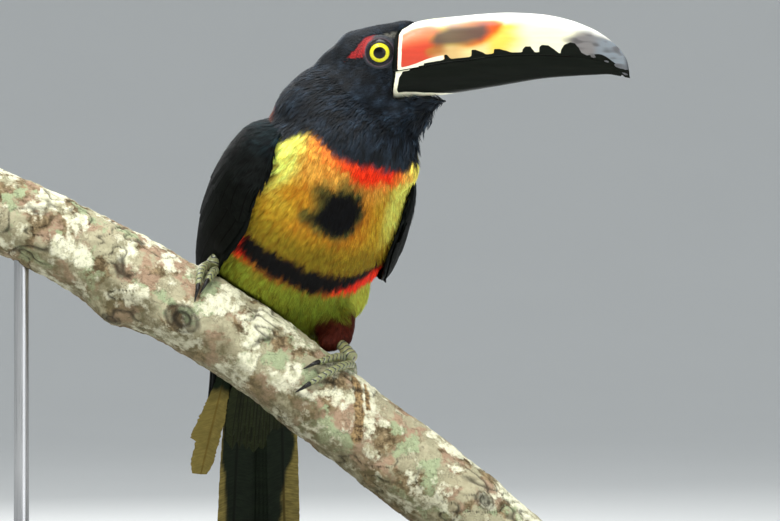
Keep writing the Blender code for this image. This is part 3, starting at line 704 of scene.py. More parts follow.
def buildRods():
    finish = steelFinish()
    barkTree = treeOf(bpy.data.objects["branchBark"].data)
    for node in ("stand_rod_left", "stand_rod_right"):
        low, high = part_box(node)
        x = (low.x + high.x) / 2 / mm
        foot = stand["size"][2] + stand["gap"]
        rod, flange, thick = stand["rod"], stand["flange"], stand["flangeHeight"]
        profile = [(flange - 0.4, foot), (flange, foot + 0.4), (flange, foot + thick - 1.2),
                   (flange - 0.35, foot + thick - 0.5), (flange - 1.2, foot + thick),
                   (rod + 1.6, foot + thick),
                   (rod + 0.6, foot + thick + 0.4), (rod, foot + thick + 1.4)]
        turns = turnsOf(48)
        rings = [[(x + r * cos(a), branch["depth"] + r * sin(a), z) for a in turns] for r, z in profile]
        for share in (0.5, 1.0):
            ring = []
            for a in turns:
                px, py = x + rod * cos(a), branch["depth"] + rod * sin(a)
                hit = barkTree.ray_cast(Vector((px, py, foot)) * mm, Vector((0, 0, 1)))[0]
                top = hit.z / mm - 0.15
                ring.append((px, py, foot + thick + 1.4 + (top - foot - thick - 1.4) * share))
            rings.append(ring)
        piece = loftPiece(node.replace("stand_rod", "stand_post"), rings, finish)
        piece.data.set_sharp_from_angle(angle=radians(40))
        bind(piece, "stand_steel", node)


buildBase()
buildRods()
print("stand made")

# The trunk's own directions, and places on it

bodyYaw = radians(22)
spine = ((-4, 34, 156), (7.4, 18, 190), (11.5, 8, 212), (22, -3, 236), (31, -12, 256), (37, -17, 274))
spineLine = smoothCurve(spine, 200)
spinePlaces = runLength(spineLine)
rightWay = np.array([-cos(bodyYaw), -sin(bodyYaw), 0])


def spineAt(places):
    # centre, tangent, the way to the bird's right and to its breast
    places = np.atleast_1d(np.asarray(places, float))
    inside = np.clip(places, 0.5, spinePlaces[-1] - 0.5)
    here = np.column_stack([np.interp(inside, spinePlaces, spineLine[:, i]) for i in range(3)])
    ahead = np.column_stack([np.interp(inside + 0.5, spinePlaces, spineLine[:, i]) for i in range(3)])
    tangent = unit(ahead - here)
    right = unit(rightWay - tangent * (tangent @ rightWay)[:, None])
    return here + tangent * (places - inside)[:, None], tangent, right, np.cross(tangent, right)


def bodyPlace(points):
    # place along the spine, and the angle in degrees from the breast towards the bird's right
    points = np.asarray(points, float)
    samples = np.linspace(-40, 190, 116)
    centres, tangents, _, _ = spineAt(samples)
    places = np.empty(len(points))
    for start in range(0, len(points), 20000):
        gap = points[start:start + 20000, None] - centres[None]
        misfit = np.abs(np.einsum("ijk,jk->ij", gap, tangents)) + 0.03 * np.linalg.norm(gap, axis=2)
        places[start:start + 20000] = samples[misfit.argmin(1)]
    for _ in range(3):
        centre, tangent, _, _ = spineAt(places)
        places += 0.8 * dots(points - centre, tangent)
    centre, tangent, right, breast = spineAt(places)
    out = points - centre
    angle = np.degrees(np.arctan2(dots(out, right), dots(out, breast)))
    return places, angle


# The bill

headYaw = radians(6)
bill = {
    "base": np.array((60.7, -21, 295.3)),
    "culmen": ((1.8, 19.8), (10.6, 23.5), (26.7, 25.5), (52, 27.1), (75, 24.8), (93.4, 17.5), (104.3, 7.2),
        (106.9, -3)),
    "edge": ((0, 0), (22, 3.8), (34, 5.2), (45, 6.8), (57, 7.4), (70, 7.3), (84, 6.2), (97, 3),
        (104.6, -2.6)),
    "keel": ((-0.5, -12.4), (22, -10.2), (45, -6.6), (66, -3.2), (82, -1.9), (91, -1.5), (97, -1.3),
        (102.6, -2.2)),
    "halfWidths": (12.4, 11.8, 10.6, 8.9, 6.8, 4.3, 1.3),
    "lowerShare": 0.985,
    "rows": 380,
    "columns": 110,
    # the dark notches between the teeth: along the bill, and up from its base
    "notches": (
        ((22.9, 3.0), (22.9, 7.4), (23.8, 7.3), (25.3, 5.6), (26, 3.4)),
        ((35.2, 3.5), (35.2, 9.6), (36.7, 9.6), (39.6, 8.5), (41.6, 7.2), (42.4, 6.0), (42.3, 3.5)),
        ((45.4, 5), (45.4, 9.9), (47.6, 10.0), (50.7, 9.3), (53.3, 7.9), (54.1, 6.5), (54.1, 5)),
        ((58.3, 5), (58.3, 9.8), (59.5, 11.1), (61.6, 11.1), (63, 9.5), (63.2, 5)),
        ((66, 5), (66, 11.0), (67.1, 11.9), (69.7, 11.6), (72.5, 9.8), (75, 7.7), (75.2, 5)),
        ((75.7, 5), (75.8, 9.6), (77.1, 11.9), (79.6, 12.9), (81.9, 12.6), (83.3, 10.6), (84.7, 8.4),
            (87.6, 7.0), (88.1, 4)),
    ),
    "smudge": ((16.5, 12.6), (18.5, 17.6), (25.5, 20.4), (35, 21.6), (45, 22.0), (48.4, 21.0), (45.5, 17.6),
        (39, 13.6), (33, 12.0), (25, 11.4), (19, 10.8)),
    "slate": ((81.0, 2), (77.5, 13.6), (83, 16.4), (89, 17.2), (94.5, 16.0), (100, 14), (112, 9), (112, -9),
        (92, -4)),
}


def headPoint(along, across, up):
    forward = np.array([cos(headYaw), -sin(headYaw), 0])
    sideways = np.array([-forward[1], forward[0], 0])
    along, across, up = (np.asarray(v, float)[..., None] for v in (along, across, up))
    return bill["base"] + forward * along + sideways * across + np.array([0, 0, 1]) * up


def headPlace(points):
    gap = np.asarray(points, float) - bill["base"]
    c, s = cos(headYaw), -sin(headYaw)
    return gap[:, 0] * c + gap[:, 1] * s, -gap[:, 0] * s + gap[:, 1] * c, gap[:, 2]


def billRings(upper):
    rows, columns = bill["rows"], bill["columns"]
    edge = smoothCurve(bill["edge"], rows)
    if not upper:
        full = smoothCurve(bill["edge"], 200)
        edge = smoothCurve(full[: int(200 * bill["lowerShare"])], rows)
        edge[:, 1] += np.interp(edge[:, 0], (80, 90, 103), (-0.2, 0.35, 0.45))
    outer = smoothCurve(bill["culmen" if upper else "keel"], rows)
    widths = smoothCurve([(w,) for w in bill["halfWidths"]], 100)[:, 0]
    share = np.clip((edge[:, 0] + outer[:, 0]) / 2 / bill["culmen"][-1][0], 0, 1)
    width = np.interp(share, np.linspace(0, 1, 100), widths) * (1.0 if upper else 0.93)
    turn = np.linspace(0, pi, columns)
    rise = np.abs(np.sin(turn)) ** 0.85
    across = np.sign(np.cos(turn)) * np.abs(np.cos(turn)) ** 0.75 * (1 - 0.10 * (1 - rise) ** 3)
    # the inner face, a shallow trough from one cutting edge to the other
    back = np.linspace(-0.93, 0.93, 16)
    trough = 0.13 * (1 - (back / 0.93) ** 2)
    rise = np.concatenate([rise, trough])
    across = np.concatenate([across, back])
    along = edge[:, :1] + (outer[:, :1] - edge[:, :1]) * rise
    up = edge[:, 1:] + (outer[:, 1:] - edge[:, 1:]) * rise
    wide = width[:, None] * across
    # the root goes on a little way into the head
    root = np.linspace(-3.2, -0.4, 8)[:, None]
    middle = up[:1].mean()
    along = np.vstack([along[:1] + root, along])
    up = np.vstack([middle + (up[:1] - middle) * (1 + root * 0.03), up])
    wide = np.vstack([wide[:1] * (1 + root * 0.03), wide])
    return along, wide, up


def hornFinish():
    finish, shader = newFinish("billHorn", Coat_Roughness=0.2, Subsurface_Weight=0.05,
        Subsurface_Scale=0.8 * mm)
    grow = noise(1.0, 5, stretched((60, 420, 520)), bend=0.3)
    fine = noise(1500, 3)
    horn = tinted(field("tone")["Color"],
                 mixed(grow, (0.80, 0.78, 0.74), (1.12, 1.12, 1.12)))
    ivory = mixed(noise(160, 4), (0.86, 0.82, 0.55), (0.97, 0.95, 0.78))
    horn = mixed(step(field("paleLine")["Fac"], -0.12, 0.16), horn, ivory)
    black = mixed(grow, (0.003, 0.004, 0.003), (0.009, 0.011, 0.008))
    horn = mixed(step(field("darkPart")["Fac"], -0.10, 0.14), horn, black)
    wire(shader, "Base Color", horn)
    wire(shader, "Specular IOR Level", step(field("darkPart")["Fac"], -0.1, 0.14, 0.32, 0.05))
    wire(shader, "Coat Weight", step(field("darkPart")["Fac"], -0.1, 0.14, 0.06, 0.0))
    wire(shader, "Roughness", step(noise(240, 4), 0.3, 0.7, 0.30, 0.46))
    relief(shader, plus(grow, times(fine, 0.25)), 0.22, 0.25)
    return finish


def paintUpperBill(a, b, z):
    # colours and outlines of the markings, from places along the bill, across it and up
    edge = readCurve(bill["edge"], np.clip(a, 0, 104.6))
    culmen = readCurve(bill["culmen"][:-1], np.clip(a, 1.8, 104))
    t, under = z - edge, culmen - z
    rough = np.column_stack([a * 0.35, b, z])
    wave = speckle(rough, 3.0, 31) - 0.5
    fine = speckle(np.column_stack([a * 0.2, b, z]), 0.9, 32) - 0.5
    tone = np.tile(np.array((0.89, 0.87, 0.62)), (len(a), 1))
    # the bill's pale top under the culmen, made whiter and less yellow as painted highlight
    tone = paint(tone, (0.86, 0.87, 0.81), ease(7, 2.5, under + wave * 2))
    tone = paint(tone, (0.80, 0.80, 0.42), ease(0.9, 0.2, np.abs(under - 0.5)) * ease(9, 14, a)
        * ease(26, 20, a) * 0.7)
    tone = paint(tone, (0.95, 0.66, 0.10), ease(64, 49, a + wave * 6) * ease(3.0, 6.5, under + fine * 2))
    tone = paint(tone, (0.86, 0.70, 0.34), ease(47, 40, a + wave * 3) * ease(9.5, 6, t + wave * 2) * 0.85)
    tone = paint(tone, (0.66, 0.44, 0.17), ease(34, 27, a + wave * 4) * ease(8.5, 5.5, t + wave * 2) * 0.85)
    smudge = insideOutline(bill["smudge"], a, z - 0.4) + wave * 1.6
    tone = paint(tone, (0.86, 0.30, 0.02), ease(-3.6, 0.4, smudge) * ease(24, 36, a) * ease(2.2, 4.4, under))
    tone = paint(tone, (0.80, 0.11, 0.010), ease(-1.6, 1.0, smudge) * ease(33, 41, a + wave * 6))
    red = ease(25.0, 14.5, a + wave * 7 + (t - 8) * 0.12) * ease(2.8, 5.0, under + wave)
    tone = paint(tone, (0.62, 0.062, 0.030), red)
    tone = paint(tone, (0.86, 0.24, 0.09), red * ease(8, 15, t) * 0.85)
    tone = paint(tone, (0.40, 0.13, 0.015), ease(13, 18, a + wave * 4) * ease(26, 20, a) * ease(14, 8, t)
        * ease(3, 5.5, t) * 0.8)
    brown = ease(-2.2, 2.4, smudge) * ease(46.5, 39.5, a + wave * 5)
    tone = paint(tone, (0.105, 0.072, 0.058), brown * 0.95)
    tone = paint(tone, (0.44, 0.20, 0.17), ease(-2.0, 1.0, smudge) * ease(7.0, 3.6, under) * ease(20, 26, a)
        * 0.75)
    slate = insideOutline(bill["slate"], a, z) + wave * 3.2
    tone = paint(tone, (0.20, 0.19, 0.19), ease(-2.6, 2.0, slate))
    tone = paint(tone, (0.20, 0.23, 0.26), ease(88, 97, a + wave * 8) * ease(-0.6, 1.3, slate))
    mottle = speckle(np.column_stack([a * 0.35 + z * 0.2, b, z]), 1.5, 36)
    tone = paint(tone, (0.075, 0.07, 0.072), ease(-0.4, 2.2, slate) * ease(0.45, 0.8, mottle) * 0.75)
    tone = paint(tone, (0.05, 0.05, 0.055), ease(103.5, 106, a) * 0.8)
    # the pale line at the base and along the cutting edge
    front = 1.5 + 0.6 * np.clip(z / 19, 0, 1) + np.maximum(a, 1.8) * 0.35 * ease(3.4, 1.0, under)
    baseLine = np.minimum(front + 1.5 - a, a - front + 0.1) + fine * 0.25
    thick = 1.1 + 2.4 * ease(2, 21, a)
    edgeLine = np.minimum(np.minimum(thick - t + fine * 0.3, 22.4 - a), a - front + 0.1)
    pale = np.maximum(baseLine, edgeLine)
    dark = np.full(len(a), -9.0)
    for outline in bill["notches"]:
        dark = np.maximum(dark, 0.3 + insideOutline(outline, a + fine * 0.4, z + fine * 0.3))
    underEdge = np.minimum(2.6 + wave * 2.4 - t, a - 84) + ease(0.68, 0.8, mottle) * -2.5
    gape = np.minimum(0.28 - t, 23 - a)
    inner = np.abs(b) < 0.9 * np.interp(a, np.linspace(0, 106, 7), bill["halfWidths"]) - 0.8
    dark = np.maximum(np.maximum(dark, underEdge), gape)
    dark = np.where(inner & (t < 1.3) & (a < 100), 1.0, dark)
    dark = np.maximum(dark, np.minimum(0.9 - t, a - 22.6))
    dark = np.maximum(dark, front - 0.2 - a)
    return tone, pale, dark


def paintLowerBill(a, b, z):
    edge = readCurve(bill["edge"], np.clip(a, 0, 104.6)) - 0.2
    keel = readCurve(bill["keel"], np.clip(a, -0.5, 102.6))
    fine = speckle(np.column_stack([a * 0.2, b, z]), 0.9, 33) - 0.5
    tone = np.tile(np.array((0.0035, 0.0045, 0.0030)), (len(a), 1))
    tone = paint(tone, (0.011, 0.014, 0.009), speckle(np.column_stack([a * 0.15, b, z]), 1.4, 34))
    strip = 2.7 * ease(31, 3, a) ** 1.2
    low = np.minimum(strip - (z - keel) + fine * 0.3, 29 - a)
    front = 0.4 - 1.4 * ease(-1, -11, z)
    corner = 1.3 * (ease(3.4, 0.6, edge - z) + ease(4.0, 1.2, z - keel))
    base = np.minimum(front + 1.9 + corner - a, a - front + 0.1) + fine * 0.25
    rim = np.minimum(0.55 - (edge - z), 7 - a)
    pale = np.where(a < front - 0.1, -1.0, np.maximum(np.maximum(low, base), rim))
    return tone, pale, np.where(a > front - 0.1, 0.1 - pale, 1.0)


def buildBill():
    finish = hornFinish()
    for name, node, upper, painter in (("billTop", "bill_upper", True, paintUpperBill),
                                     ("billUnder", "bill_lower", False, paintLowerBill)):
        a, b, z = billRings(upper)
        tone, pale, dark = painter(a.ravel(), b.ravel(), z.ravel())
        points = headPoint(a, b, z)
        rows, columns = a.shape
        if upper:
            # the notches and the other dark parts before the tip are sunk a little
            sink = ease(0.0, 0.5, dark).reshape(rows, columns) * 0.4 * (a < 90)
            shift = np.zeros_like(points)
            sideways = np.array([sin(headYaw), cos(headYaw), 0])
            shift -= sideways * (np.sign(b) * sink)[..., None]
            points = points + shift
        points += (speckle(points.reshape(-1, 3) * (0.3, 1, 1), 2.4, 35).reshape(rows, columns, 1)
            - 0.5) * 0.10
        fields = {"tone": np.column_stack([tone, np.ones(len(tone))]), "paleLine": pale, "darkPart": dark}
        piece = loftPiece(name, points, finish, fields=fields)
        bind(piece, "bill_horn" if upper else "lower_bill_horn", node)
    print("bill made")


buildBill()


# The skin, melted from the flesh of the frame

skinParts = ("head", "neck", "breast", "belly", "rump", "thigh_left", "thigh_right")
# how the solids melt into one skin; crown: how much flatter the skin lies there, where and how wide
melt = {"voxel": 1.2, "swell": 0.42, "smoothing": 14, "under": 0.15, "crown": (1.4, -17, 8)}
eye = {
    "place": (-6.9, 10.3, 9.1),
    "radius": 6.2,
    "gaze": (0.10, 0.985, -0.14),
    # how far the socket's plug lies behind the ball, and how much larger it is
    "socket": (2.3, 0.5),
    # the rim of lids and wrinkled skin: distance from the gaze and height over the ball or the skin
    "rim": ((4.36, -0.35), (4.46, 0.10), (4.64, 0.42), (4.95, 0.56), (5.35, 0.46), (5.8, 0.22), (6.1, 0.16),
            (6.4, 0.2), (6.8, 0.1), (7.2, -0.05), (7.7, -0.5)),
}
thighs = {
    "right": ((-8, 4, 207), (-16, -4, 209), (-21.5, -12, 211.5)),
    "left": ((30, 13, 190), (33, 3.5, 181), (34, -5.5, 171)),
}
# bare skin of the face, along the head and up from the bill's base
face = {
    "red": ((-5.5, 14.8), (-8.6, 16.6), (-13.3, 15.8), (-17.3, 11.0), (-20.5, 7.2), (-25.4, 3.6),
        (-21.8, 4.9), (-16.2, 5.6), (-12.4, 5.4), (-9, 8)),
    "slate": ((5, 18.6), (-2.5, 17.4), (-8.2, 16.6), (-10, 13), (-9.5, 3.6), (-5, 0.6), (1.0, 1.6), (5, 6)),
    "pale": ((2.2, 19.0), (-3.0, 18.2), (-6.4, 16.6), (-3.2, 15.6), (0.4, 15.4), (2.2, 13.0)),
}
# fullness of the plumage beyond the solids: middle along, up; radii along, across, up; rise in degrees
fullness = (
    ((2.8, 20.9), (7.6, 6.4, 3.6), 5),
    ((-28.2, 3.6), (14, 9, 8.4), 40),
    ((10, -14.8), (12.8, 8.5, 4.4), 5),
    ((18.6, -13.7), (6.8, 4.4, 2.8), 7),
    ((7, -21), (10, 8.5, 8), 0),
    ((2, -36.5), (9.9, 11, 19), 0),
)
# the same on the flank and above the foot: middle and radii
bodyFullness = (((37, 16.5, 199), (13.2, 15, 19.5)), ((29.5, -5, 171.6), (7.2, 7.2, 5.6)))
# lines of the plumage: angle round the trunk from the breast to the bird's right, place along the spine
markings = {
    "hood": ((-180, 127), (-110, 127), (-90, 127), (-62, 130), (-50, 128.4), (-42, 126.2), (-33, 124.6),
        (-15, 124.8), (-2, 124.4), (10, 124.9), (21, 125.2), (28, 125.8), (35, 127.2), (42, 129),
        (50, 130), (58, 129.4), (66, 126.6), (74, 122), (90, 121), (110, 127), (180, 127)),
    "beltTop": ((-90, 90), (-60, 85.6), (-44, 81.4), (-32, 78.4), (-20, 76.4), (-7, 75.8), (5, 76.2),
        (18, 77.3), (29, 78.4), (40, 79), (51, 80), (62, 80), (90, 81)),
    "beltFoot": ((-90, 90), (-57, 84.5), (-44, 75.2), (-37, 71.6), (-29, 68.6), (-21, 66.8), (-10, 64.6),
        (-3, 63.4), (2, 63.2), (7, 63.8), (11, 65.8), (23, 66.4), (35, 67.4), (45, 68.6), (56, 71.4),
        (90, 74)),
    "redFoot": ((-90, 76), (-60, 67.5), (-42, 63.2), (-31, 62.6), (-21, 63.2), (-10, 62.4), (0, 62.2),
        (8, 62.6), (12, 64.4), (23, 65.2), (35, 66.2), (45, 67.2), (56, 69.2), (62, 70), (90, 73)),
    "redCollar": ((-60, 124), (-47, 122), (-40, 120), (-33, 118.2), (-19, 117.2), (-3, 118.3), (12, 120.4),
        (25, 123.2), (50, 127)),
}


def bareFace(points):
    along, across, up = headPlace(points)
    wave = speckle(points, 2.2, 41) - 0.5
    near = (np.abs(across) > 6) & (along < 3.5)
    found = {name: np.where(near, insideOutline(face[name], along, up) + wave * 0.9, -20) for name in face}
    return found


def thighShare(points):
    share = np.zeros(len(points))
    for side, line in thighs.items():
        reach = {"right": 6.5, "left": 9.6}[side]
        for a, b in list(zip(line, line[1:]))[1:]:
            a, b = np.array(a, float), np.array(b, float)
            t = np.clip((points - a) @ (b - a) / ((b - a) @ (b - a)), 0, 1)
            far = np.linalg.norm(points - a - t[:, None] * (b - a), axis=1)
            share = np.maximum(share, ease(reach + 2.4, reach, far))
    return share


def plumageAt(points):
    # the bird's markings; skin and coat both take their colours here
    s, angle = bodyPlace(points)
    side = np.abs(angle)
    big, wave, fine = (speckle(points, size, 50 + i) - 0.5 for i, size in enumerate((9, 3.5, 1.3)))
    ragged = wave * 2.6 + fine * 2.6
    tone = np.tile(np.array((0.46, 0.31, 0.017)), (len(points), 1))
    # belly: olive yellow in the middle, paler towards the flanks
    tone = paint(tone, (0.20, 0.22, 0.014), ease(80, 66, s + ragged))
    tone = paint(tone, (0.145, 0.175, 0.012), ease(66, 50, s + big * 10) * ease(66, 16, side + big * 30))
    tone = paint(tone, (0.46, 0.47, 0.05), ease(72, 62, s) * ease(40, 50, s)
        * ease(-36, -54, angle + big * 14) * 0.9)
    tone = paint(tone, (0.22, 0.24, 0.018), ease(72, 62, s) * ease(40, 60, angle + big * 20) * 0.6)
    tone = paint(tone, (0.07, 0.085, 0.010), ease(34, 16, s + ragged) * 0.7)
    # breast: a dull golden band below the spot that is painted shade, an orange wash round the dark spot,
    # pale green-yellow shoulders, a red collar under the hood
    tone = paint(tone, (0.19, 0.125, 0.006), ease(101, 84, s + ragged * 2) * ease(70, 76, s) * 0.85)
    wash = ease(84, 100, s + ragged) * ease(58, 20, np.abs(angle - 4) + big * 34)
    tone = paint(tone, (0.66, 0.20, 0.010), wash * 0.62)
    tone = paint(tone, (0.80, 0.86, 0.15), ease(98, 114, s + ragged) * ease(44, 60, angle + big * 22) * 0.9)
    tone = paint(tone, (0.70, 0.68, 0.11), ease(88, 104, s + ragged) * ease(-32, -46, angle + big * 12) * 0.9)
    shoulder = ease(110, 118, s + ragged) * ease(62, 44, angle + big * 20) * ease(-42, -30, angle)
    tone = paint(tone, (0.80, 0.38, 0.05), shoulder * 0.85)
    redFrom = np.interp(angle, *zip(*markings["redCollar"]))
    strength = np.interp(angle, (-50, -42, -34, -2, 10, 22, 40, 62), (0, 0.4, 1, 1, 0.9, 0.6, 0.4, 0.1))
    tone = paint(tone, (0.88, 0.035, 0.005), ease(redFrom - 2.0, redFrom + 2.0, s + ragged * 1.6) * strength)
    # the spot on the breast, its edge torn, with two dusky lobes on the bird's right
    spot = np.hypot((s - 105.6) / 10.6, (angle - 5.2) / 18.4) + wave * 0.3 + fine * 0.36
    lobes = np.minimum(np.hypot((s - 101.5) / 5.4, (angle - 25) / 11),
        np.hypot((s - 111.2) / 5.2, (angle - 23) / 10.5))
    lobes += wave * 0.5 + fine * 0.6
    tone = paint(tone, (0.34, 0.075, 0.006), ease(1.55, 1.0, spot) * ease(6, -8, angle) * 0.8)
    tone = paint(tone, (0.085, 0.085, 0.016), np.maximum(ease(1.3, 0.95, spot), ease(1.35, 0.5, lobes) * 0.9))
    tone = paint(tone, (0.0030, 0.0030, 0.0030), np.maximum(ease(1.04, 0.82, spot),
        ease(0.7, 0.15, lobes) * 0.75))
    # the belt: black, its foot and its ends red
    top, foot, redEnd = (np.interp(angle, *zip(*markings[line]))
        for line in ("beltTop", "beltFoot", "redFoot"))
    top, foot, redEnd = top + ragged * 0.5, foot + ragged * 0.6, redEnd + ragged * 0.8
    ends = np.maximum(ease(-8, -22, angle), ease(50, 60, angle))
    red = np.minimum(ease(redEnd - 1.0, redEnd + 0.8, s), ease(top + 0.6, top - 1.0, s)) * ease(84, 72, side)
    tone = paint(tone, (0.34, 0.045, 0.006), red * (1 - ends) * 0.75)
    tone = paint(tone, (0.80, 0.028, 0.006), red * ends)
    black = np.minimum(ease(foot - 0.7, foot + 0.8, s), ease(top + 0.9, top - 0.7, s))
    black = black * ease(67, 60, angle + wave * 6)
    tone = paint(tone, (0.0035, 0.003, 0.0025), black)
    tone = paint(tone, (0.065, 0.009, 0.003), thighShare(points) * ease(48.5, 45.0, s + ragged * 1.2)
        * ease(22, 8, angle))
    # the back, the rump and the collar on the nape
    back = ease(80, 92, side + wave * 8 - 20 * ease(68, 60, s))
    tone = paint(tone, (0.006, 0.014, 0.009), back * ease(14, 34, s))
    tone = paint(tone, (0.48, 0.016, 0.010), ease(96, 112, side + wave * 10) * ease(46, 38, s + ragged))
    tone = paint(tone, (0.11, 0.020, 0.008), ease(96, 112, side + wave * 10) * ease(117, 122, s + ragged))
    hood = np.interp(angle, *zip(*markings["hood"])) + ragged * 0.55
    collar = ease(96, 108, side + wave * 8) * 5.5
    black = ease(hood + collar - 0.9, hood + collar + 0.9, s)
    glint = speckle(points, 2.4, 58)[:, None] ** 2.5
    sheen = np.array((0.0045, 0.0065, 0.0085)) + glint * np.array((0.024, 0.042, 0.066))
    tone = tone * (1 - black)[:, None] + sheen * black[:, None]
    return tone, s, angle


def skinTone(points):
    # bare skin of the face over the plumage's colours
    tone = plumageAt(points)[0]
    bare = bareFace(points)
    tone = paint(tone, (0.020, 0.023, 0.029), ease(-0.5, 0.5, bare["slate"]))
    tone = paint(tone, (0.34, 0.012, 0.013), ease(-0.4, 0.5, bare["red"]) * ease(1.2, -0.3, bare["slate"]))
    tone = paint(tone, (0.13, 0.125, 0.10), ease(-0.9, 1.0, bare["pale"]) * 0.85)
    return tone, np.maximum(ease(-0.4, 0.7, bare["slate"]), ease(-0.3, 0.7, bare["red"]))


def featherSizes(points, s, angle):
    # length, width and depth of the coat at places on the skin, in millimetres
    along, across, up = headPlace(points)
    far = np.sqrt((along + 2) ** 2 + across**2 + (up - 8) ** 2)
    side = np.abs(angle)
    length = np.interp(far, (0, 12, 24, 40, 60, 85), (1.6, 1.9, 3.0, 4.4, 6.2, 8.0))
    trunk = ease(140, 122, s)
    onBelly = ease(82, 60, s)
    length = length * (1 - trunk) + trunk * (7.6 + 2.2 * onBelly + 1.6 * ease(50, 80, side))
    length = length * (1 - ease(26, 4, s) * 0.2)
    legs = thighShare(points)
    length = length * (1 - legs) + 7.2 * legs
    length = length * (1 + 0.5 * ease(120, 124, s) * ease(134, 128, s) * ease(52, 66, side))
    width = np.interp(length, (1.6, 3, 5, 8, 12), (0.62, 1.0, 1.7, 2.5, 3.1))
    depth = np.interp(length, (1.6, 3, 5, 8, 10, 12), (0.55, 0.9, 1.6, 2.5, 2.9, 3.0))
    depth = depth * (1 - 0.35 * legs)
    # longer, looser feathers under the chin and down the throat
    loose = ease(-9, -14, up) * ease(-46, -38, up) * ease(2, 7, along)
    length, depth = length * (1 + 0.9 * loose), depth * (1 + 0.8 * loose)
    depth = depth + 1.2 * ease(-58, -70, angle) * ease(66, 58, s) * ease(30, 38, s)
    return length, width, depth, far


def lieWays(points, normals, s):
    # the way the feathers lie: back from the bill over the head, down the body below it
    along, across, up = headPlace(points)
    source = headPoint(12.0, 0.0, 5.0)
    fromBill = unit(points - source)
    back = headPoint(-1.0, 0.0, 0.0) - headPoint(0.0, 0.0, 0.0)
    fromBill = unit(fromBill + back * (ease(-5, -12, up) * ease(-14, 2, along) * 1.6)[:, None])
    # cheeks and throat sweep down into the breast
    centre, tangent, right, _ = spineAt(s)
    out = points - centre
    sideways = dots(out, right)[:, None] * right
    down = unit(-tangent + sideways * 0.006)
    far = np.sqrt((along + 2) ** 2 + across**2 + (up - 8) ** 2)
    share = (ease(20, 52, far) * ease(158, 128, s))[:, None]
    lie = fromBill * (1 - share) + down * share
    lie += (np.column_stack([speckle(points, 11, 60 + i) for i in range(3)]) - 0.5) * 0.28
    return laidOn(lie, normals)


def skinFinish():
    finish, shader = newFinish("skin", Roughness=0.75, Specular_IOR_Level=0.2, Subsurface_Weight=0.04,
                               Subsurface_Scale=0.8 * mm)
    bare = field("bare")["Fac"]
    cells = pebbled(1500)
    fine = noise(900, 4)
    tone = tinted(field("tone")["Color"],
                 mixed(step(cells, 0.1, 0.75), (1.25, 1.25, 1.25), (0.55, 0.55, 0.55)))
    # the skin under the feathers is darkened: painted shade under the coat
    under = tinted(field("tone")["Color"], mixed(fine, (0.35, 0.35, 0.35), (0.8, 0.8, 0.8)))
    wire(shader, "Base Color", mixed(bare, under, tone))
    wire(shader, "Roughness", step(bare, 0, 1, 0.85, 0.5))
    papillae = times(minus(0.6, cells), bare)
    relief(shader, plus(papillae, times(fine, 0.5)), 0.6, 0.3)
    return finish


def eyeCentre(sign):
    along, across, up = eye["place"]
    return headPoint(along, across * sign, up)


def gazeWay(sign):
    along, across, up = eye["gaze"]
    way = headPoint(along, across * sign, up) - headPoint(0, 0, 0)
    return way / np.linalg.norm(way)


def ballMesh(place):
    # a unit ball whose points go where the given rule puts them
    bm = bmesh.new()
    bmesh.ops.create_icosphere(bm, subdivisions=4, radius=1)
    for v in bm.verts:
        v.co = Vector(place(*v.co)) * mm
    mesh = bpy.data.meshes.new("ball")
    bm.to_mesh(mesh)
    bm.free()
    return mesh


def buildSkin():
    meshes = [cadNodes[name].data for name in skinParts]
    plugs = []
    for sign in sides.values():
        behind, larger = eye["socket"]
        socket, radius = eyeCentre(sign) - gazeWay(sign) * behind, eye["radius"] + larger
        plugs.append(ballMesh(lambda x, y, z: socket + np.array((x, y, z)) * radius))
    for (onward, height), radii, rise in fullness:
        c, n = cos(radians(rise)), sin(radians(rise))
        plugs.append(ballMesh(lambda x, y, z: headPoint(
            onward + x * radii[0] * c - z * radii[2] * n, y * radii[1],
            height + x * radii[0] * n + z * radii[2] * c)))
    for middle, radii in bodyFullness:
        plugs.append(ballMesh(lambda x, y, z: np.array(middle) + np.array((x, y, z)) * radii))
    mesh = remelt("skin", meshes + plugs, melt["voxel"], melt["swell"], melt["smoothing"])
    points, normals = readPoints(mesh), unit(readPoints(mesh, "normal"))
    _, s, angle = plumageAt(points)
    depth = featherSizes(points, s, angle)[2]
    # the skin lies inside the solids by the coat's depth
    points = points - normals * (melt["swell"] + depth + melt["under"])[:, None]
    # the crown is a little flatter than the solid
    along, _, up = headPlace(points)
    height, place, width = melt["crown"]
    flat = height * np.exp(-(((along - place) / width) ** 2)) * ease(16, 22, up)
    points = points - normals * flat[:, None]
    mesh.vertices.foreach_set("co", (points * mm).astype(np.float32).ravel())
    mesh.update()
    normals = unit(readPoints(mesh, "normal"))
    for _ in range(4):
        normals = smoothField(mesh, normals)
    normals = unit(normals)
    tone, bare = skinTone(points)
    storeColour(mesh, "tone", tone)
    storeField(mesh, "bare", bare)
    piece = showPiece("skin", mesh, skinFinish())
    bind(piece, "hood_plumage", *skinParts)
    print("skin made:", len(mesh.polygons), "faces")
    return piece, points, normals, s, angle, bare


def smoothField(mesh, values):
    edges = np.zeros(len(mesh.edges) * 2, np.int32)
    mesh.edges.foreach_get("vertices", edges)
    edges = edges.reshape(-1, 2)
    total = values.copy()
    count = np.ones(len(values))
    for a, b in ((0, 1), (1, 0)):
        for i in range(values.shape[1]):
            total[:, i] += np.bincount(edges[:, a], values[edges[:, b], i], len(values))
        count += np.bincount(edges[:, a], minlength=len(values))
    return total / count[:, None]


skin, skinPoints, skinNormals, skinPlaces, skinAngles, skinBare = buildSkin()


# The eyes

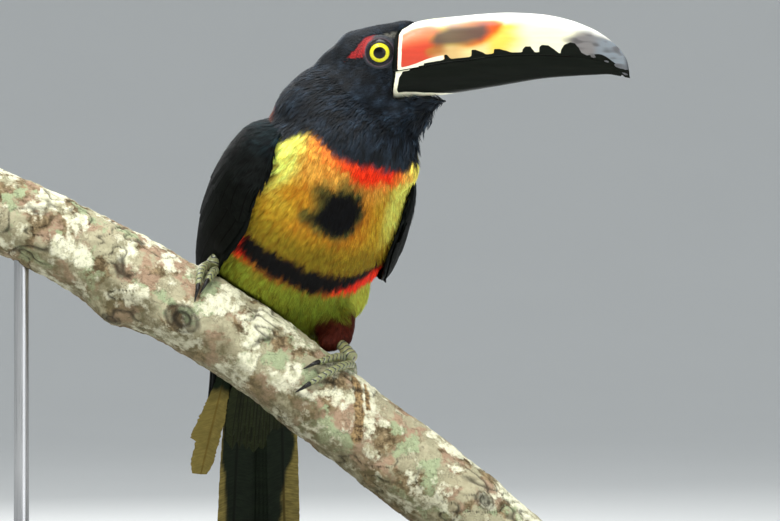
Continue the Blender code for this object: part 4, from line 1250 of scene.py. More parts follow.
def eyeFinish():
    finish, shader = newFinish("eyeball", Roughness=0.22, Specular_IOR_Level=0.2, Coat_Weight=0.10,
        Coat_Roughness=0.02)
    far = field("fromGaze")["Fac"]
    rays = field("rayTurn")["Fac"]
    spokes = noise(1.0, 3, combined(times(rays, 9.0), times(far, 1.2)))
    iris = mixed(spokes, (0.62, 0.55, 0.004), (0.92, 0.88, 0.05))
    iris = mixed(step(far, 4.2, 5.0), iris, (0.34, 0.25, 0.01))
    iris = mixed(step(far, 2.75, 3.1), (0.16, 0.11, 0.01), iris)
    look = mixed(step(far, 2.6, 2.8), (0.0015, 0.0015, 0.002), iris)
    look = mixed(step(far, 5.0, 5.4), look, (0.01, 0.008, 0.008))
    wire(shader, "Base Color", look)
    relief(shader, spokes, 0.08, 0.1)
    return finish


def lidFinish():
    finish, shader = newFinish("eyeRim", Roughness=0.5, Specular_IOR_Level=0.3)
    far = field("fromGaze")["Fac"]
    beads = pebbled(1700)
    dark = mixed(beads, (0.010, 0.010, 0.014), (0.004, 0.004, 0.006))
    mauve = mixed(beads, (0.085, 0.055, 0.075), (0.03, 0.02, 0.028))
    look = mixed(step(far, 5.9, 6.25), dark, mauve)
    aroundIt = mixed(field("redSide")["Fac"], (0.020, 0.023, 0.029), (0.32, 0.012, 0.013))
    look = mixed(step(far, 6.35, 6.8), look, aroundIt)
    wire(shader, "Base Color", look)
    wire(shader, "Roughness", step(beads, 0.1, 0.7, 0.36, 0.6))
    relief(shader, minus(1.0, beads), 0.5, 0.2)
    return finish


def buildEyes():
    ballFinish, rimFinish = eyeFinish(), lidFinish()
    tree = treeOf(skin.data)
    turns = turnsOf(72)
    for side, sign in sides.items():
        centre, gaze = eyeCentre(sign), gazeWay(sign)
        up = unit(np.array([0, 0, 1.0]) - gaze * gaze[2])
        over = np.cross(up, gaze)
        rows = []
        for polar in np.radians(np.linspace(1.5, 178.5, 46)):
            far, deep = eye["radius"] * sin(polar), eye["radius"] * cos(polar)
            rows.append([centre + gaze * deep + (up * sin(a) + over * cos(a)) * far for a in turns])
        rows = np.array(rows)
        gap = rows - centre
        far = np.where(gap @ gaze > 0, np.hypot((gap @ up) * 1.06, gap @ over), 6.2)
        turn = np.arctan2(gap @ up, gap @ over)
        ball = loftPiece("eyeball" + side.title(), rows, ballFinish,
            fields={"fromGaze": far, "rayTurn": np.abs(turn)})
        bind(ball, "eye", "eye_" + side)
        rings, distance, red = [], [], []
        for far, height in eye["rim"]:
            ring = []
            for a in turns:
                way = up * sin(a) + over * cos(a)
                crinkle = 0.05 * sin(a * 17 + far * 2) + 0.04 * sin(a * 29)
                at = centre + way * far * (1.03 if abs(cos(a)) > 0.7 else 1.0)
                ballHeight = sqrt(max(eye["radius"] ** 2 - far**2, 0))
                hit = tree.ray_cast(Vector(at + gaze * 12) * mm, Vector(-gaze))[0]
                skinHeight = float((np.array(hit) / mm - centre) @ gaze) if hit else ballHeight
                share = float(ease(4.7, 6.3, far))
                ground = ballHeight * (1 - share) + (skinHeight + 0.55) * share
                ring.append(at + gaze * (ground + height + crinkle * share))
            rings.append(ring)
            distance.append([far] * len(turns))
            red.append([float(ease(0.25, 0.7, cos(a) * sign) * ease(-0.35, 0.1, sin(a))) for a in turns])
        rim = loftPiece("eyeRim" + side.title(), rings, rimFinish, ends=False,
            fields={"fromGaze": distance, "redSide": red})
        bind(rim, "eye")
    print("eyes made")


buildEyes()


# The shells of the folded wings, smooth forms that the feathers are laid on

wing = {
    "top": 127,
    "tip": -22,
    "front": ((-22, 90), (-8, 86), (14, 80), (40, 75), (58, 74), (72, 70), (83, 66), (95, 65), (110, 64),
        (119, 68), (127, 84)),
    "back": ((-22, 112), (-8, 140), (14, 168), (40, 174), (70, 172), (95, 158), (127, 118)),
    "shift": {"right": 0, "left": 3},
    # place along the body, and how much further forward the plumage begins than the solid, in degrees
    "reaches": {"right": ((-22, 0), (52, 0), (60, 3), (66, 7), (72, 9), (80, 8.5), (87, 6), (95, 3),
                          (103, 0.5),
                          (112, 0), (127, 0)),
                "left": ((-22, 0), (10, -5), (28, -9), (42, -8), (54, -2), (64, 9), (72, 17), (78, 21),
                         (85, 22),
                         (92, 20), (100, 15), (106, 10), (113, 2), (119, -3), (127, -4))},
    # place along the body, and how far the plumage stands off the solid
    "lift": {"right": ((-22, 0), (48, 0), (60, 1.2), (72, 1.6), (84, 1.2), (98, 0.4), (108, 0.6), (115, 1.6),
                       (120, 1.8), (124, 1.0), (127, 0.4)),
             "left": ((-22, 0), (20, -1), (36, -2), (52, -1.6), (62, 0.8), (70, 2.4), (78, 2.2), (92, 0.6),
                      (110, 0), (127, 0))},
}


def softened(grid, rounds):
    # a grid of numbers evened out along its rows and columns, its rim kept
    grid = grid.copy()
    for _ in range(rounds):
        grid[1:-1] = (grid[:-2] + 2 * grid[1:-1] + grid[2:]) / 4
        grid[:, 1:-1] = (grid[:, :-2] + 2 * grid[:, 1:-1] + grid[:, 2:]) / 4
    return grid


def wingEdges(side, place):
    # angles of the wing's front and back edge round the trunk
    front = float(readCurve(wing["front"], place)) + wing["shift"][side]
    return front - float(readCurve(wing["reaches"][side], place)), float(readCurve(wing["back"], place))


def wingRings(side, nodes):
    # the folded wing as smooth rings over the frame's own, a feather's depth inside it
    tree, trunk = (treeOf(*[cadNodes[name].data for name in names])
        for names in (nodes, ("neck", "breast", "belly", "rump")))
    shares = np.linspace(0.012, 0.988, 52)
    places = np.linspace(wing["top"] - 0.5, wing["tip"] + 0.5, 130)
    centres, _, rights, breasts = spineAt(places)
    outs = np.empty((len(places), len(shares), 3))
    reach, thick = np.empty((2, len(places), len(shares)))
    for i, place in enumerate(places):
        front, back = wingEdges(side, place)
        lift = float(readCurve(wing["lift"][side], place))
        for j, share in enumerate(shares):
            angle = radians(front + (back - front) * share)
            out = breasts[i] * cos(angle) - rights[i] * sin(angle) * sides[side]
            start = centres[i] + out * 80
            hit = tree.ray_cast(Vector(start) * mm, Vector(-out))[3]
            bodyHit = trunk.ray_cast(Vector(start) * mm, Vector(-out))[3]
            far = hit / mm if hit else (bodyHit / mm - 2.4 if bodyHit else np.nan)
            inner = 2.2 * mm
            if hit:
                inner = tree.ray_cast(Vector(start - out * (far + 0.2)) * mm, Vector(-out))[3]
            outs[i, j] = out
            reach[i, j] = 80 - far + lift
            thick[i, j] = inner / mm if inner and inner < 9 * mm else np.nan
    for grid in (reach, thick):
        for row in grid:
            known = ~np.isnan(row)
            if known.any():
                row[:] = np.interp(shares, shares[known], row[known])
        known = ~np.isnan(grid[:, 0])
        for column in grid.T:
            column[:] = np.interp(places[::-1], places[known][::-1], column[known][::-1])[::-1]
    # the top edge sinks under the feathers of the nape and the shoulder
    reach = softened(reach, 26) - 0.8 - (4.4 * ease(117, 127, places))[:, None]
    thick = np.clip(softened(thick, 30) - 0.9, 0.7, 6)
    outer = centres[:, None] + outs * reach[..., None]
    inner = centres[:, None] + outs * (reach - thick)[..., None]
    # the rim is rounded: one more row of points between the two faces at the front and back edge
    rims = [
        outer[:, i] * 0.5 + inner[:, i] * 0.5 + unit(outer[:, i] - outer[:, j]) * 0.35
        for i, j in ((0, 1), (-1, -2))
    ]
    return np.concatenate([rims[0][:, None], outer, rims[1][:, None], inner[:, ::-1]], axis=1)


def shellFinish():
    finish, shader = newFinish("wingShell", Roughness=0.6, Specular_IOR_Level=0.04)
    barbs = noise(900, 4)
    wire(shader, "Base Color", mixed(barbs, (0.0015, 0.002, 0.0017), (0.004, 0.005, 0.0042)))
    relief(shader, barbs, 0.5, 0.3)
    return finish


def buildShell(side):
    nodes = [f"wing_{side}_{part}" for part in ("shoulder", "secondaries", "primaries")]
    shell = loftPiece("wingShell" + side.title(), wingRings(side, nodes), wingShellLook)
    bind(shell, "wing_plumage", *nodes)
    return shell


wingShellLook = shellFinish()
wingShells = {side: buildShell(side) for side in sides}
print("wing shells made")


# The coat: tufts set on the skin, all made by one node tree

# roots in a square metre at most, height off the skin in metres, size of a tuft's patch in the bake's map
coatSizes = {"density": 4.0e7, "offSkin": 0.00006, "patch": 0.003}
# fields that only the growing needs
growingFields = ("cover", "lie", "skinNormal", "featherLength", "featherWidth", "featherDepth", "rootU",
    "rootV", "bare", "height")


def tuftMesh(name, barbs, rows, spread, barbWidth, seed, curl=0.12):
    # a fan of thin barbs from one root, in unit width and length
    numbers = np.random.default_rng(seed)
    points, faces, fields = [], [], []
    for barb in range(barbs):
        place = 0 if barbs == 1 else 2 * barb / (barbs - 1) - 1
        reach = (1 - 0.16 * place**2) * numbers.uniform(0.86, 1.0)
        bend = place * spread + numbers.uniform(-0.05, 0.05)
        start = len(points)
        for row in range(rows):
            share = row / rows
            middle = 0.10 * place + (bend - 0.10 * place) * share**1.25
            half = barbWidth * (0.75 + 0.5 * sin(pi * min(share * 1.25, 1))) * (1 - share) ** 0.4
            for edge in (-1, 1):
                points.append((middle + half * edge, reach * share, 0))
                fields.append((middle + half * edge, reach * share,
                    share**0.85 * (1 - curl * place**2) - 0.03 * edge * place))
        points.append((bend, reach, 0))
        fields.append((bend, reach, 0.96 - curl * place**2))
        for row in range(rows - 1):
            a = start + row * 2
            faces.append((a, a + 1, a + 3, a + 2))
        a = start + (rows - 1) * 2
        faces.append((a, a + 1, a + 2))
    return templateMesh(name, points, faces, fields)


def scaleMesh(name, columns, rows, crown, curl):
    # a small broad feather: a cambered vane that ends in a rounded, slightly ragged edge
    numbers = np.random.default_rng(7)
    points, faces, fields = [], [], []
    for row in range(rows + 1):
        share = row / rows
        half = 0.5 * min(1, 0.5 + share * 1.6) * sqrt(max(0.02, 1 - max(0, (share - 0.55) / 0.47) ** 2))
        for column in range(columns + 1):
            place = 2 * column / columns - 1
            notch = numbers.uniform(0, 0.045) if row == rows else 0
            along = share * (1 - 0.10 * place**2) - notch
            points.append((place * half, along, 0))
            rachis = 0.06 if column * 2 == columns else 0
            fields.append((place * half, along, share**crown - curl * place**2 + rachis * (1 - share)))
    for row in range(rows):
        for column in range(columns):
            a = row * (columns + 1) + column
            faces.append((a, a + 1, a + columns + 2, a + columns + 1))
    return templateMesh(name, points, faces, fields)


def templateMesh(name, points, faces, fields):
    mesh = bpy.data.meshes.new(name)
    mesh.from_pydata(points, [], faces)
    fields = np.array(fields)
    for i, label in enumerate(("across", "along", "height")):
        storeField(mesh, label, fields[:, i])
    return showPiece(name, mesh)


def coatTree():
    tree = workbench["tree"] = bpy.data.node_groups.new("coat", "GeometryNodeTree")
    tree.interface.new_socket("Skin", in_out="INPUT", socket_type="NodeSocketGeometry")
    kinds = {"Cover": "String", "Spacing": "Float", "Seed": "Int", "Turn": "Float", "Vary": "Float",
             "Tuft": "Object", "Finish": "Material"}
    sockets = {}
    for name, kind in kinds.items():
        socket = tree.interface.new_socket(name, in_out="INPUT", socket_type="NodeSocket" + kind)
        sockets[name] = socket.identifier
    tree.interface.new_socket("Coat", in_out="OUTPUT", socket_type="NodeSocketGeometry")
    given = tree.nodes.new("NodeGroupInput").outputs

    def made(kind, inputs=None, **settings):
        return addNode(kind, inputs, **settings).outputs[0]

    def named(name, kind="FLOAT"):
        return made("GeometryNodeInputNamedAttribute", {"Name": name}, data_type=kind)

    def chance(low, high, seed):
        inputs = {2: low, 3: high, 8: plus(given["Seed"], seed)}
        return addNode("FunctionNodeRandomValue", inputs, data_type="FLOAT").outputs[1]

    # roots spread over the skin, each tuft turned to the lie of the coat there
    inputs = {"Mesh": given["Skin"], "Distance Min": given["Spacing"], "Density Max": coatSizes["density"],
              "Density Factor": named(given["Cover"]), "Seed": given["Seed"]}
    roots = made("GeometryNodeDistributePointsOnFaces", inputs, distribute_method="POISSON")
    inputs = {"Geometry": roots, "Name": "shade", "Value": chance(0.0, 1.0, 3)}
    roots = made("GeometryNodeStoreNamedAttribute", inputs, data_type="FLOAT", domain="POINT")
    ways = {0: named("skinNormal", "FLOAT_VECTOR"), 1: named("lie", "FLOAT_VECTOR")}
    facing = made("FunctionNodeAxesToRotation", ways, primary_axis="Z", secondary_axis="Y")
    inputs = {"Axis": (0, 0, 1), "Angle": chance(times(given["Turn"], -1.0), given["Turn"], 5)}
    inputs = {"Rotation": facing, "Rotate By": made("FunctionNodeAxisAngleToRotation", inputs)}
    aimed = made("FunctionNodeRotateRotation", inputs, rotation_space="LOCAL")
    longer = chance(minus(1.0, given["Vary"]), plus(1.0, given["Vary"]), 9)
    size = combined(named("featherWidth"), times(named("featherLength"), longer), 0.001)
    tuft = addNode("GeometryNodeObjectInfo", {"Object": given["Tuft"]}).outputs["Geometry"]
    inputs = {"Points": roots, "Instance": tuft, "Rotation": aimed, "Scale": size}
    real = made("GeometryNodeRealizeInstances", {"Geometry": made("GeometryNodeInstanceOnPoints", inputs)})
    here = made("GeometryNodeInputPosition")

    def nearest(value):
        inputs = {"Mesh": given["Skin"], "Value": value, "Sample Position": here}
        return made("GeometryNodeSampleNearestSurface", inputs, data_type="FLOAT_VECTOR")

    # every point follows the skin under it and stands off it by its height in the coat
    lift = times(named("height"), named("featherDepth"))
    lift = times(lift, plus(0.72, times(named("shade"), 0.28)))
    inputs = {0: nearest(named("skinNormal", "FLOAT_VECTOR")), "Scale": plus(lift, coatSizes["offSkin"])}
    away = made("ShaderNodeVectorMath", inputs, operation="SCALE")
    place = made("ShaderNodeVectorMath", {0: nearest(here), 1: away}, operation="ADD")
    laid = made("GeometryNodeSetPosition", {"Geometry": real, "Position": place})
    # the bake's map: each tuft a small patch at its root's place on the skin's own unwrap
    u = plus(named("rootU"), times(named("across"), coatSizes["patch"] * 0.93))
    v = plus(named("rootV"), times(minus(named("along"), 0.5), coatSizes["patch"]))
    inputs = {"Geometry": laid, "Name": "OFBake", "Value": combined(u, v, 0.0)}
    mapped = made("GeometryNodeStoreNamedAttribute", inputs, data_type="FLOAT2", domain="CORNER")
    done = made("GeometryNodeSetMaterial", {"Geometry": mapped, "Material": given["Finish"]})
    tree.links.new(done, tree.nodes.new("NodeGroupOutput").inputs[0])
    return tree, sockets


def plumageFinish(name, gloss, tip, root, streak, glint=0.0, hue=0.0, fuzz=0.015):
    # feathers darken towards their roots and vary a little from tuft to tuft
    finish, shader = newFinish(name, Specular_IOR_Level=0.16 + glint, Sheen_Weight=fuzz, Sheen_Roughness=0.4)
    along, across, shade = (field(n)["Fac"] for n in ("along", "across", "shade"))
    fall = mixed(step(along, 0.05, 0.75), (root,) * 3, (tip,) * 3)
    change = mixed(shade, (1 - streak * 0.6, 1 - streak - hue, 1 - streak - hue * 1.6),
        (1 + streak, 1 + streak + hue, 1 + streak + hue * 3))
    strands = combined(times(across, 8.0), along, times(shade, 60.0))
    change = tinted(change, mixed(step(noise(1.0, 2, strands), 0.32, 0.68), (0.66,) * 3, (1.3,) * 3))
    look = tinted(field("tone")["Color"], tinted(fall, change))
    look = mixed(step(noise(2600, 2), 0.45, 0.75, 0, 0.35), look, tinted(look, (0.45, 0.45, 0.45)))
    wire(shader, "Base Color", look)
    barb = calc("SINE", plus(times(along, 60.0), times(calc("ABSOLUTE", across), -46.0)))
    wire(shader, "Roughness", step(barb, -1, 1, gloss, gloss + 0.12))
    relief(shader, barb, 0.25, 0.05)
    return finish


def shootRays(tree, points, ways, reach):
    return np.array([
        tree.ray_cast(Vector(p) * mm, Vector(w), reach * mm)[0] is not None for p, w in zip(points, ways)
    ])


def layUnwrap(s, angle, low, high):
    return np.clip(0.5 + angle / 366, 0.004, 0.996), np.clip((s - low) / (high - low), 0.004, 0.996)


coat, coatSockets = coatTree()
# tufts in unit size: barbs, rows, spread, half a barb's width and seed; or columns, rows, crown and curl
templates = {
    "fine": tuftMesh("fineTuft", 3, 2, 0.42, 0.115, 11),
    "body": tuftMesh("bodyTuft", 5, 3, 0.46, 0.072, 12),
    "scale": scaleMesh("scaleTuft", 4, 4, 0.8, 0.22),
}


def growCoat(name, skinPiece, cover, spacing, template, finish, seed, slot, turn=0.22, vary=0.16):
    # one piece of the coat; the modifier becomes plain mesh at once
    piece = showPiece(name, skinPiece.data.copy())
    storeField(piece.data, "cover", cover)
    grow = piece.modifiers.new("coat", "NODES")
    grow.node_group = coat
    values = {"Cover": "cover", "Spacing": spacing * mm, "Seed": seed, "Turn": turn, "Vary": vary,
              "Tuft": templates[template], "Finish": finish}
    for socket, value in values.items():
        grow[coatSockets[socket]] = value
    mesh = plainMesh(piece)
    mesh.name = name
    for extra in growingFields:
        if extra in mesh.attributes:
            mesh.attributes.remove(mesh.attributes[extra])
    mesh.shade_smooth()
    made = showPiece(name, mesh)
    mesh.uv_layers.active = mesh.uv_layers["OFBake"]
    mesh.calc_loop_triangles()
    bind(made, slot)
    print(name, "grown:", len(mesh.loop_triangles), "triangles")
    return made


def dressSkin():
    # what the coat needs to know at every point of the skin
    length, width, depth, far = featherSizes(skinPoints, skinPlaces, skinAngles)
    lie = lieWays(skinPoints, skinNormals, skinPlaces)
    mesh = skin.data
    wingTree = treeOf(*[shell.data for shell in wingShells.values()])
    under = shootRays(wingTree, skinPoints - skinNormals * 2, skinNormals, 16).astype(float)
    for _ in range(6):
        under = smoothField(mesh, under[:, None])[:, 0]
    centre, _, right, _ = spineAt(skinPlaces)
    sideways = np.sign(dots(skinPoints - centre, right))[:, None] * right
    nearWing = ease(0.02, 0.3, under) * ease(60, 75, skinPlaces) * ease(124, 116, skinPlaces)
    lie = lie + sideways * (nearWing * 0.55)[:, None]
    lie = laidOn(lie, skinNormals)
    depth = depth + nearWing * 2.0
    inBranch = np.array([nearBranch(p) for p in skinPoints])
    onBranch = ease(3.5, 0.5, inBranch) * ease(30, 40, skinPlaces) * ease(75, 66, skinPlaces)
    depth = depth + onBranch * 1.4
    tipTone = plumageAt(skinPoints + lie * (length * 0.34)[:, None])[0]
    storeFields(mesh, lie=lie, skinNormal=skinNormals, featherLength=length * mm, featherWidth=width * mm,
        featherDepth=depth * 0.92 * mm)
    u, v = layUnwrap(skinPlaces, skinAngles, -20, 175)
    storeFields(mesh, rootU=u, rootV=v)
    bare = skin.data.copy()
    storeColour(bare, "tone", tipTone)
    source = showPiece("coatSource", bare)
    # no feathers in the branch, behind the bill, under the eyes' rims or under the wings
    cover = 1 - np.clip(skinBare * 1.6, 0, 1)
    cover *= ease(-3.0, -1.0, inBranch)
    for sign in sides.values():
        gap = skinPoints - eyeCentre(sign)
        across = gap - (gap @ gazeWay(sign))[:, None] * gazeWay(sign)
        cover *= np.where(gap @ gazeWay(sign) > 0, ease(6.3, 7.0, np.linalg.norm(across, axis=1)), 1)
    along, _, up = headPlace(skinPoints)
    keel, culmen = (readCurve(bill[line], np.clip(along, 1.9, 98)) for line in ("keel", "culmen"))
    behindBill = (along > -1.4) & (up > keel - 0.6) & (up < culmen - 1.6)
    cover *= np.where(behindBill, 0, 1)
    cover *= ease(0.98, 0.8, under)
    return source, cover, far


def nearBranch(point):
    centre, along, radius, _ = branchCourse(point[0])
    gap = point - centre
    gap = gap - along * (gap @ along)
    return np.linalg.norm(gap) - radius


def growBody():
    source, bareless, far = dressSkin()
    s, side = skinPlaces, np.abs(skinAngles)
    legs = thighShare(skinPoints)
    soft = plumageFinish("softPlumage", 0.55, 1.12, 0.42, 0.16, -0.06, 0.16)
    dark = plumageFinish("hoodPlumage", 0.42, 1.4, 0.38, 0.42, 0.02)
    trunk = ease(126.5, 125, s) * (1 - legs)
    front = ease(112, 104, side)
    regions = {
        "faceCoat": (ease(31, 29, far) * ease(125, 126.5, s), 0.52, "fine", dark, "hood_plumage"),
        "crownCoat": (ease(29, 31, far) * ease(125, 126.5, s) * ease(52, 50, far), 0.95, "body", dark,
            "hood_plumage"),
        "hoodCoat": (ease(50, 52, far) * ease(125, 126.5, s), 1.15, "body", dark, "neck_plumage"),
        "breastCoat": (trunk * front * ease(96, 98, s), 1.10, "body", soft, "breast_plumage"),
        "beltCoat": (trunk * front * ease(98, 96, s) * ease(70, 72, s), 1.10, "body", soft, "breast_plumage"),
        "bellyCoat": (trunk * front * ease(72, 70, s), 1.2, "body", soft, "belly_plumage"),
        "backCoat": (trunk * (1 - front), 1.6, "body", dark, "rump_plumage"),
        "thighCoat": (legs, 0.9, "body", soft, "thigh_plumage"),
    }
    for seed, (name, (cover, spacing, template, finish, slot)) in enumerate(regions.items()):
        growCoat(name, source, cover * bareless, spacing, template, finish, seed + 20, slot)
    # a few longer, looser feathers stand out under the chin
    along, _, up = headPlace(skinPoints)
    loose = ease(5, 10, along) * ease(-9.5, -12, up) * ease(-44, -32, up)
    storeFields(source.data, featherLength=np.full(len(s), 8.0 * mm),
        featherWidth=np.full(len(s), 2.2 * mm), featherDepth=np.full(len(s), 4.2 * mm))
    growCoat("throatCoat", source, loose * bareless, 2.3, "body", dark, 40, "neck_plumage", 0.55, 0.35)
    bpy.data.objects.remove(source)


growBody()
print("body coat made")


# The folded wings: small coverts grown on the shells, and rows of vanes laid over them

# rows of vanes: how many; place and share of the first and last root, and of the tips; half width, layer
wingRows = {
    "primary": (7, (74, 0.10), (92, 0.42), (-20, 0.40), (24, 0.60), 5.4, 1),
    "secondary": (8, (90, 0.24), (98, 0.86), (24, 0.40), (56, 0.90), 6.6, 2),
    "greatCovert": (12, (98, 0.06), (104, 0.92), (66, 0.10), (78, 0.93), 4.6, 3),
    "middleCovert": (13, (108, 0.08), (113, 0.90), (84, 0.06), (94, 0.94), 4.2, 4),
}


def vaneFinish(name, dark, pale, gloss, gleam, shaftTone):
    finish, shader = newFinish(name, Specular_IOR_Level=gleam)
    along, across = (field(n)["Fac"] for n in ("along", "across"))
    aside = calc("ABSOLUTE", across)
    slant = minus(times(along, 1.0), times(aside, 2.6))
    barb = calc("SINE", times(slant, 13.0))
    clump = noise(1.0, 3, combined(times(slant, 1.1), times(aside, 1.5)))
    web = mixed(step(clump, 0.3, 0.72), dark, pale)
    web = tinted(web, mixed(step(barb, -1, 1), (0.86,) * 3, (1.07,) * 3))
    web = tinted(web, field("tone")["Color"])
    shaft = step(aside, 0.05, 0.11, 1, 0)
    web = mixed(shaft, web, tinted(field("tone")["Color"], shaftTone))
    wire(shader, "Base Color", web)
    wire(shader, "Roughness", step(clump, 0.2, 0.8, gloss, gloss + 0.16))
    height = plus(times(barb, 0.5), times(shaft, 1.6))
    relief(shader, plus(height, clump), 0.4, 0.16)
    return finish


def vaneRings(middles, acrosses, normals, halves, thick=0.14, columns=9, camber=0.5, ragged=0.0, seed=1):
    # rings of a thin vane with a raised shaft, and each point's place across and along it
    numbers = np.random.default_rng(seed)
    places = np.linspace(-1, 1, columns)
    length = runLength(middles)
    rings, across, along = [], [], []
    for row, (middle, aside, normal, half) in enumerate(zip(middles, acrosses, normals, halves)):
        edge = np.ravel(half) * (1 - ragged * numbers.uniform(0, 1, 2))
        reach = np.where(places < 0, edge[0], edge[1]) * places
        top = middle + aside * reach[:, None] - normal * (camber * places**2)[:, None]
        top = top + normal * (0.16 * np.exp(-((reach / 0.45) ** 2)))[:, None]
        under = top - normal * (thick * (1.15 - 0.85 * np.abs(places)))[:, None]
        rings.append(np.vstack([top, under[::-1]]))
        across.append(np.concatenate([places, places[::-1]]))
        along.append(np.full(columns * 2, length[row]))
    return np.array(rings), np.array(across), np.array(along)


class WingSurface:
    # finds points on a wing's shell from their place along the body and their share from front to back edge

    def __init__(self, side, shell):
        self.sign = -sides[side]
        self.side = side
        self.tree = treeOf(shell)

    def at(self, place, share):
        place = min(max(place, wing["tip"] + 1.0), wing["top"] - 1.5)
        front, back = wingEdges(self.side, place)
        angle = radians(front + (back - front) * min(max(share, 0.04), 0.96))
        centre, _, right, breast = (v[0] for v in spineAt(place))
        out = breast * cos(angle) + right * sin(angle) * self.sign
        hit = self.tree.ray_cast(Vector(centre + out * 75) * mm, Vector(-out))
        if hit[0] is None:
            hit = self.tree.find_nearest(Vector(centre + out * 42) * mm)
        return np.array(hit[0]) / mm, out

    def near(self, point, out, limit=2.6):
        hit = self.tree.ray_cast(Vector(point + out * 14) * mm, Vector(-out))
        if hit[0] is not None:
            found = np.array(hit[0]) / mm
            if np.linalg.norm(found - point) < limit:
                return found
        return point


def layVane(surface, root, tip, half, layer, seed):
    # a long vane over the shell; it narrows at its root and rounds off at its tip
    numbers = np.random.default_rng(seed)
    shares = np.linspace(0, 1, 22)
    bow = numbers.uniform(-0.012, 0.012)
    found = []
    for t in shares:
        place = root[0] + (tip[0] - root[0]) * t
        share = root[1] + (tip[1] - root[1]) * t + bow * sin(pi * t)
        found.append(surface.at(place, share))
    middles = np.array([p for p, _ in found])
    outs = np.array([o for _, o in found])
    for _ in range(3):
        middles[1:-1] = (middles[:-2] + 2 * middles[1:-1] + middles[2:]) / 4
    ways = unit(np.gradient(middles, axis=0))
    normals = laidOn(outs, ways)
    acrosses = np.cross(ways, normals)
    halves = half * (0.5 + 0.5 * np.sin(np.minimum(shares / 0.4, 1) * pi / 2))
    halves *= np.sqrt(np.maximum(1 - np.maximum(0, (shares - 0.78) / 0.235) ** 2.2, 0.02))
    lifts = 0.16 + layer * 0.16 + 0.5 * shares
    tops = middles + normals * lifts[:, None]
    rings, across, along = vaneRings(tops, acrosses, normals, halves, camber=0.0, ragged=0.05, seed=seed)
    count = rings.shape[1] // 2
    for row in range(len(rings)):
        for column in range(count):
            ground = surface.near(rings[row, column] - normals[row] * lifts[row], normals[row])
            gap = ground - rings[row, column]
            shift = gap @ normals[row] + lifts[row] - 0.25 * abs(across[row, column]) ** 2
            shift = max(min(shift, 0.6), -2.2)
            rings[row, column] += normals[row] * shift
            rings[row, -1 - column] += normals[row] * shift
    return rings, across, along


def vanePiece(name, vanes, finish, tones):
    points, faces, across, along, tone = [], [], [], [], []
    for (rings, aside, onward), colour in zip(vanes, tones):
        rows, columns = rings.shape[:2]
        start = sum(len(p) for p in points)
        points.append(rings.reshape(-1, 3))
        faces += tubeFaces(rows, columns, start)
        faces.append(tuple(range(start + columns - 1, start - 1, -1)))
        faces.append(tuple(range(start + (rows - 1) * columns, start + rows * columns)))
        across.append(aside.ravel())
        along.append(onward.ravel())
        tone.append(np.tile(colour, (rows * columns, 1)) if np.ndim(colour) == 1 else colour.reshape(-1, 3))
    mesh = meshFrom(name, np.vstack(points), faces)
    storeFields(mesh, across=np.concatenate(across), along=np.concatenate(along))
    storeColour(mesh, "tone", np.vstack(tone))
    outward(mesh, merge=0)
    mesh.set_sharp_from_angle(angle=radians(60))
    piece = showPiece(name, mesh, finish)
    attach(piece, "root")
    return piece


def buildWing(side, vaneLook, covertLook):
    mesh = wingShells[side].data
    points, normals = readPoints(mesh), unit(readPoints(mesh, "normal"))
    surface = WingSurface(side, mesh)
    vanes, tones = [], []
    numbers = np.random.default_rng(5)
    for count, rootA, rootB, tipA, tipB, half, layer in wingRows.values():
        for i in range(count):
            t = i / (count - 1)
            root = np.add(rootA, np.subtract(rootB, rootA) * t) + (numbers.uniform(-1.4, 1.4), 0)
            tip = np.add(tipA, np.subtract(tipB, tipA) * t) + (numbers.uniform(-0.8, 0.8), 0)
            vanes.append(layVane(surface, root, tip, half, layer + t * 1.6, 100 * layer + i))
            tones.append(np.array((1, 1, 1)) * numbers.uniform(0.8, 1.15))
    made = vanePiece("wingVanes" + side.title(), vanes, vaneLook, tones)
    # small coverts over the shoulder and the edges
    normals = unit(readPoints(mesh, "normal"))
    for _ in range(3):
        normals = smoothField(mesh, normals)
    s, angle = bodyPlace(points)
    centre, tangent, _, _ = spineAt(s)
    lie = unit(-tangent + (points - centre) * 0.004)
    lie = laidOn(lie, normals)
    source = showPiece("covertSource", mesh.copy())
    data = source.data
    out = points - centre
    facing = dots(unit(out), normals)
    length = np.interp(s, (90, 106, 114, 127), (8.5, 9.6, 8.6, 6.0))
    depth = np.interp(s, (100, 107, 116, 125), (0.6, 1.9, 2.0, 1.2))
    storeFields(data, lie=lie, skinNormal=unit(normals), featherLength=length * mm,
        featherWidth=length * 0.6 * mm, featherDepth=depth * mm)
    u, v = layUnwrap(s, angle, -30, 135)
    storeFields(data, rootU=u, rootV=v)
    shade = np.array((0.0036, 0.0046, 0.0042)) * (0.5 + 1.1 * speckle(points, 5, 71))[:, None]
    # a blue-green painted sheen on the coverts towards the neck
    shade += np.array((0.002, 0.010, 0.014)) * (ease(116, 124, s) * speckle(points, 4, 72))[:, None]
    storeColour(data, "tone", shade)
    cover = ease(104.5, 108, s) * ease(-0.15, 0.15, facing)
    growCoat("coverts" + side.title(), source, cover, 1.5, "body", covertLook, 41, "wing_plumage", 0.16, 0.22)
    # fine edging feathers where the shell's rim turns in
    rim = ease(0.55, 0.2, facing) * ease(-0.6, -0.2, facing) * ease(-18, -10, s) * ease(114, 108, s)
    storeFields(data, featherLength=np.full(len(s), 6.5 * mm), featherWidth=np.full(len(s), 3.2 * mm),
        featherDepth=np.full(len(s), 0.7 * mm))
    growCoat("wingRim" + side.title(), source, rim, 1.6, "body", covertLook, 43, "wing_plumage", 0.12, 0.12)
    bpy.data.objects.remove(source)


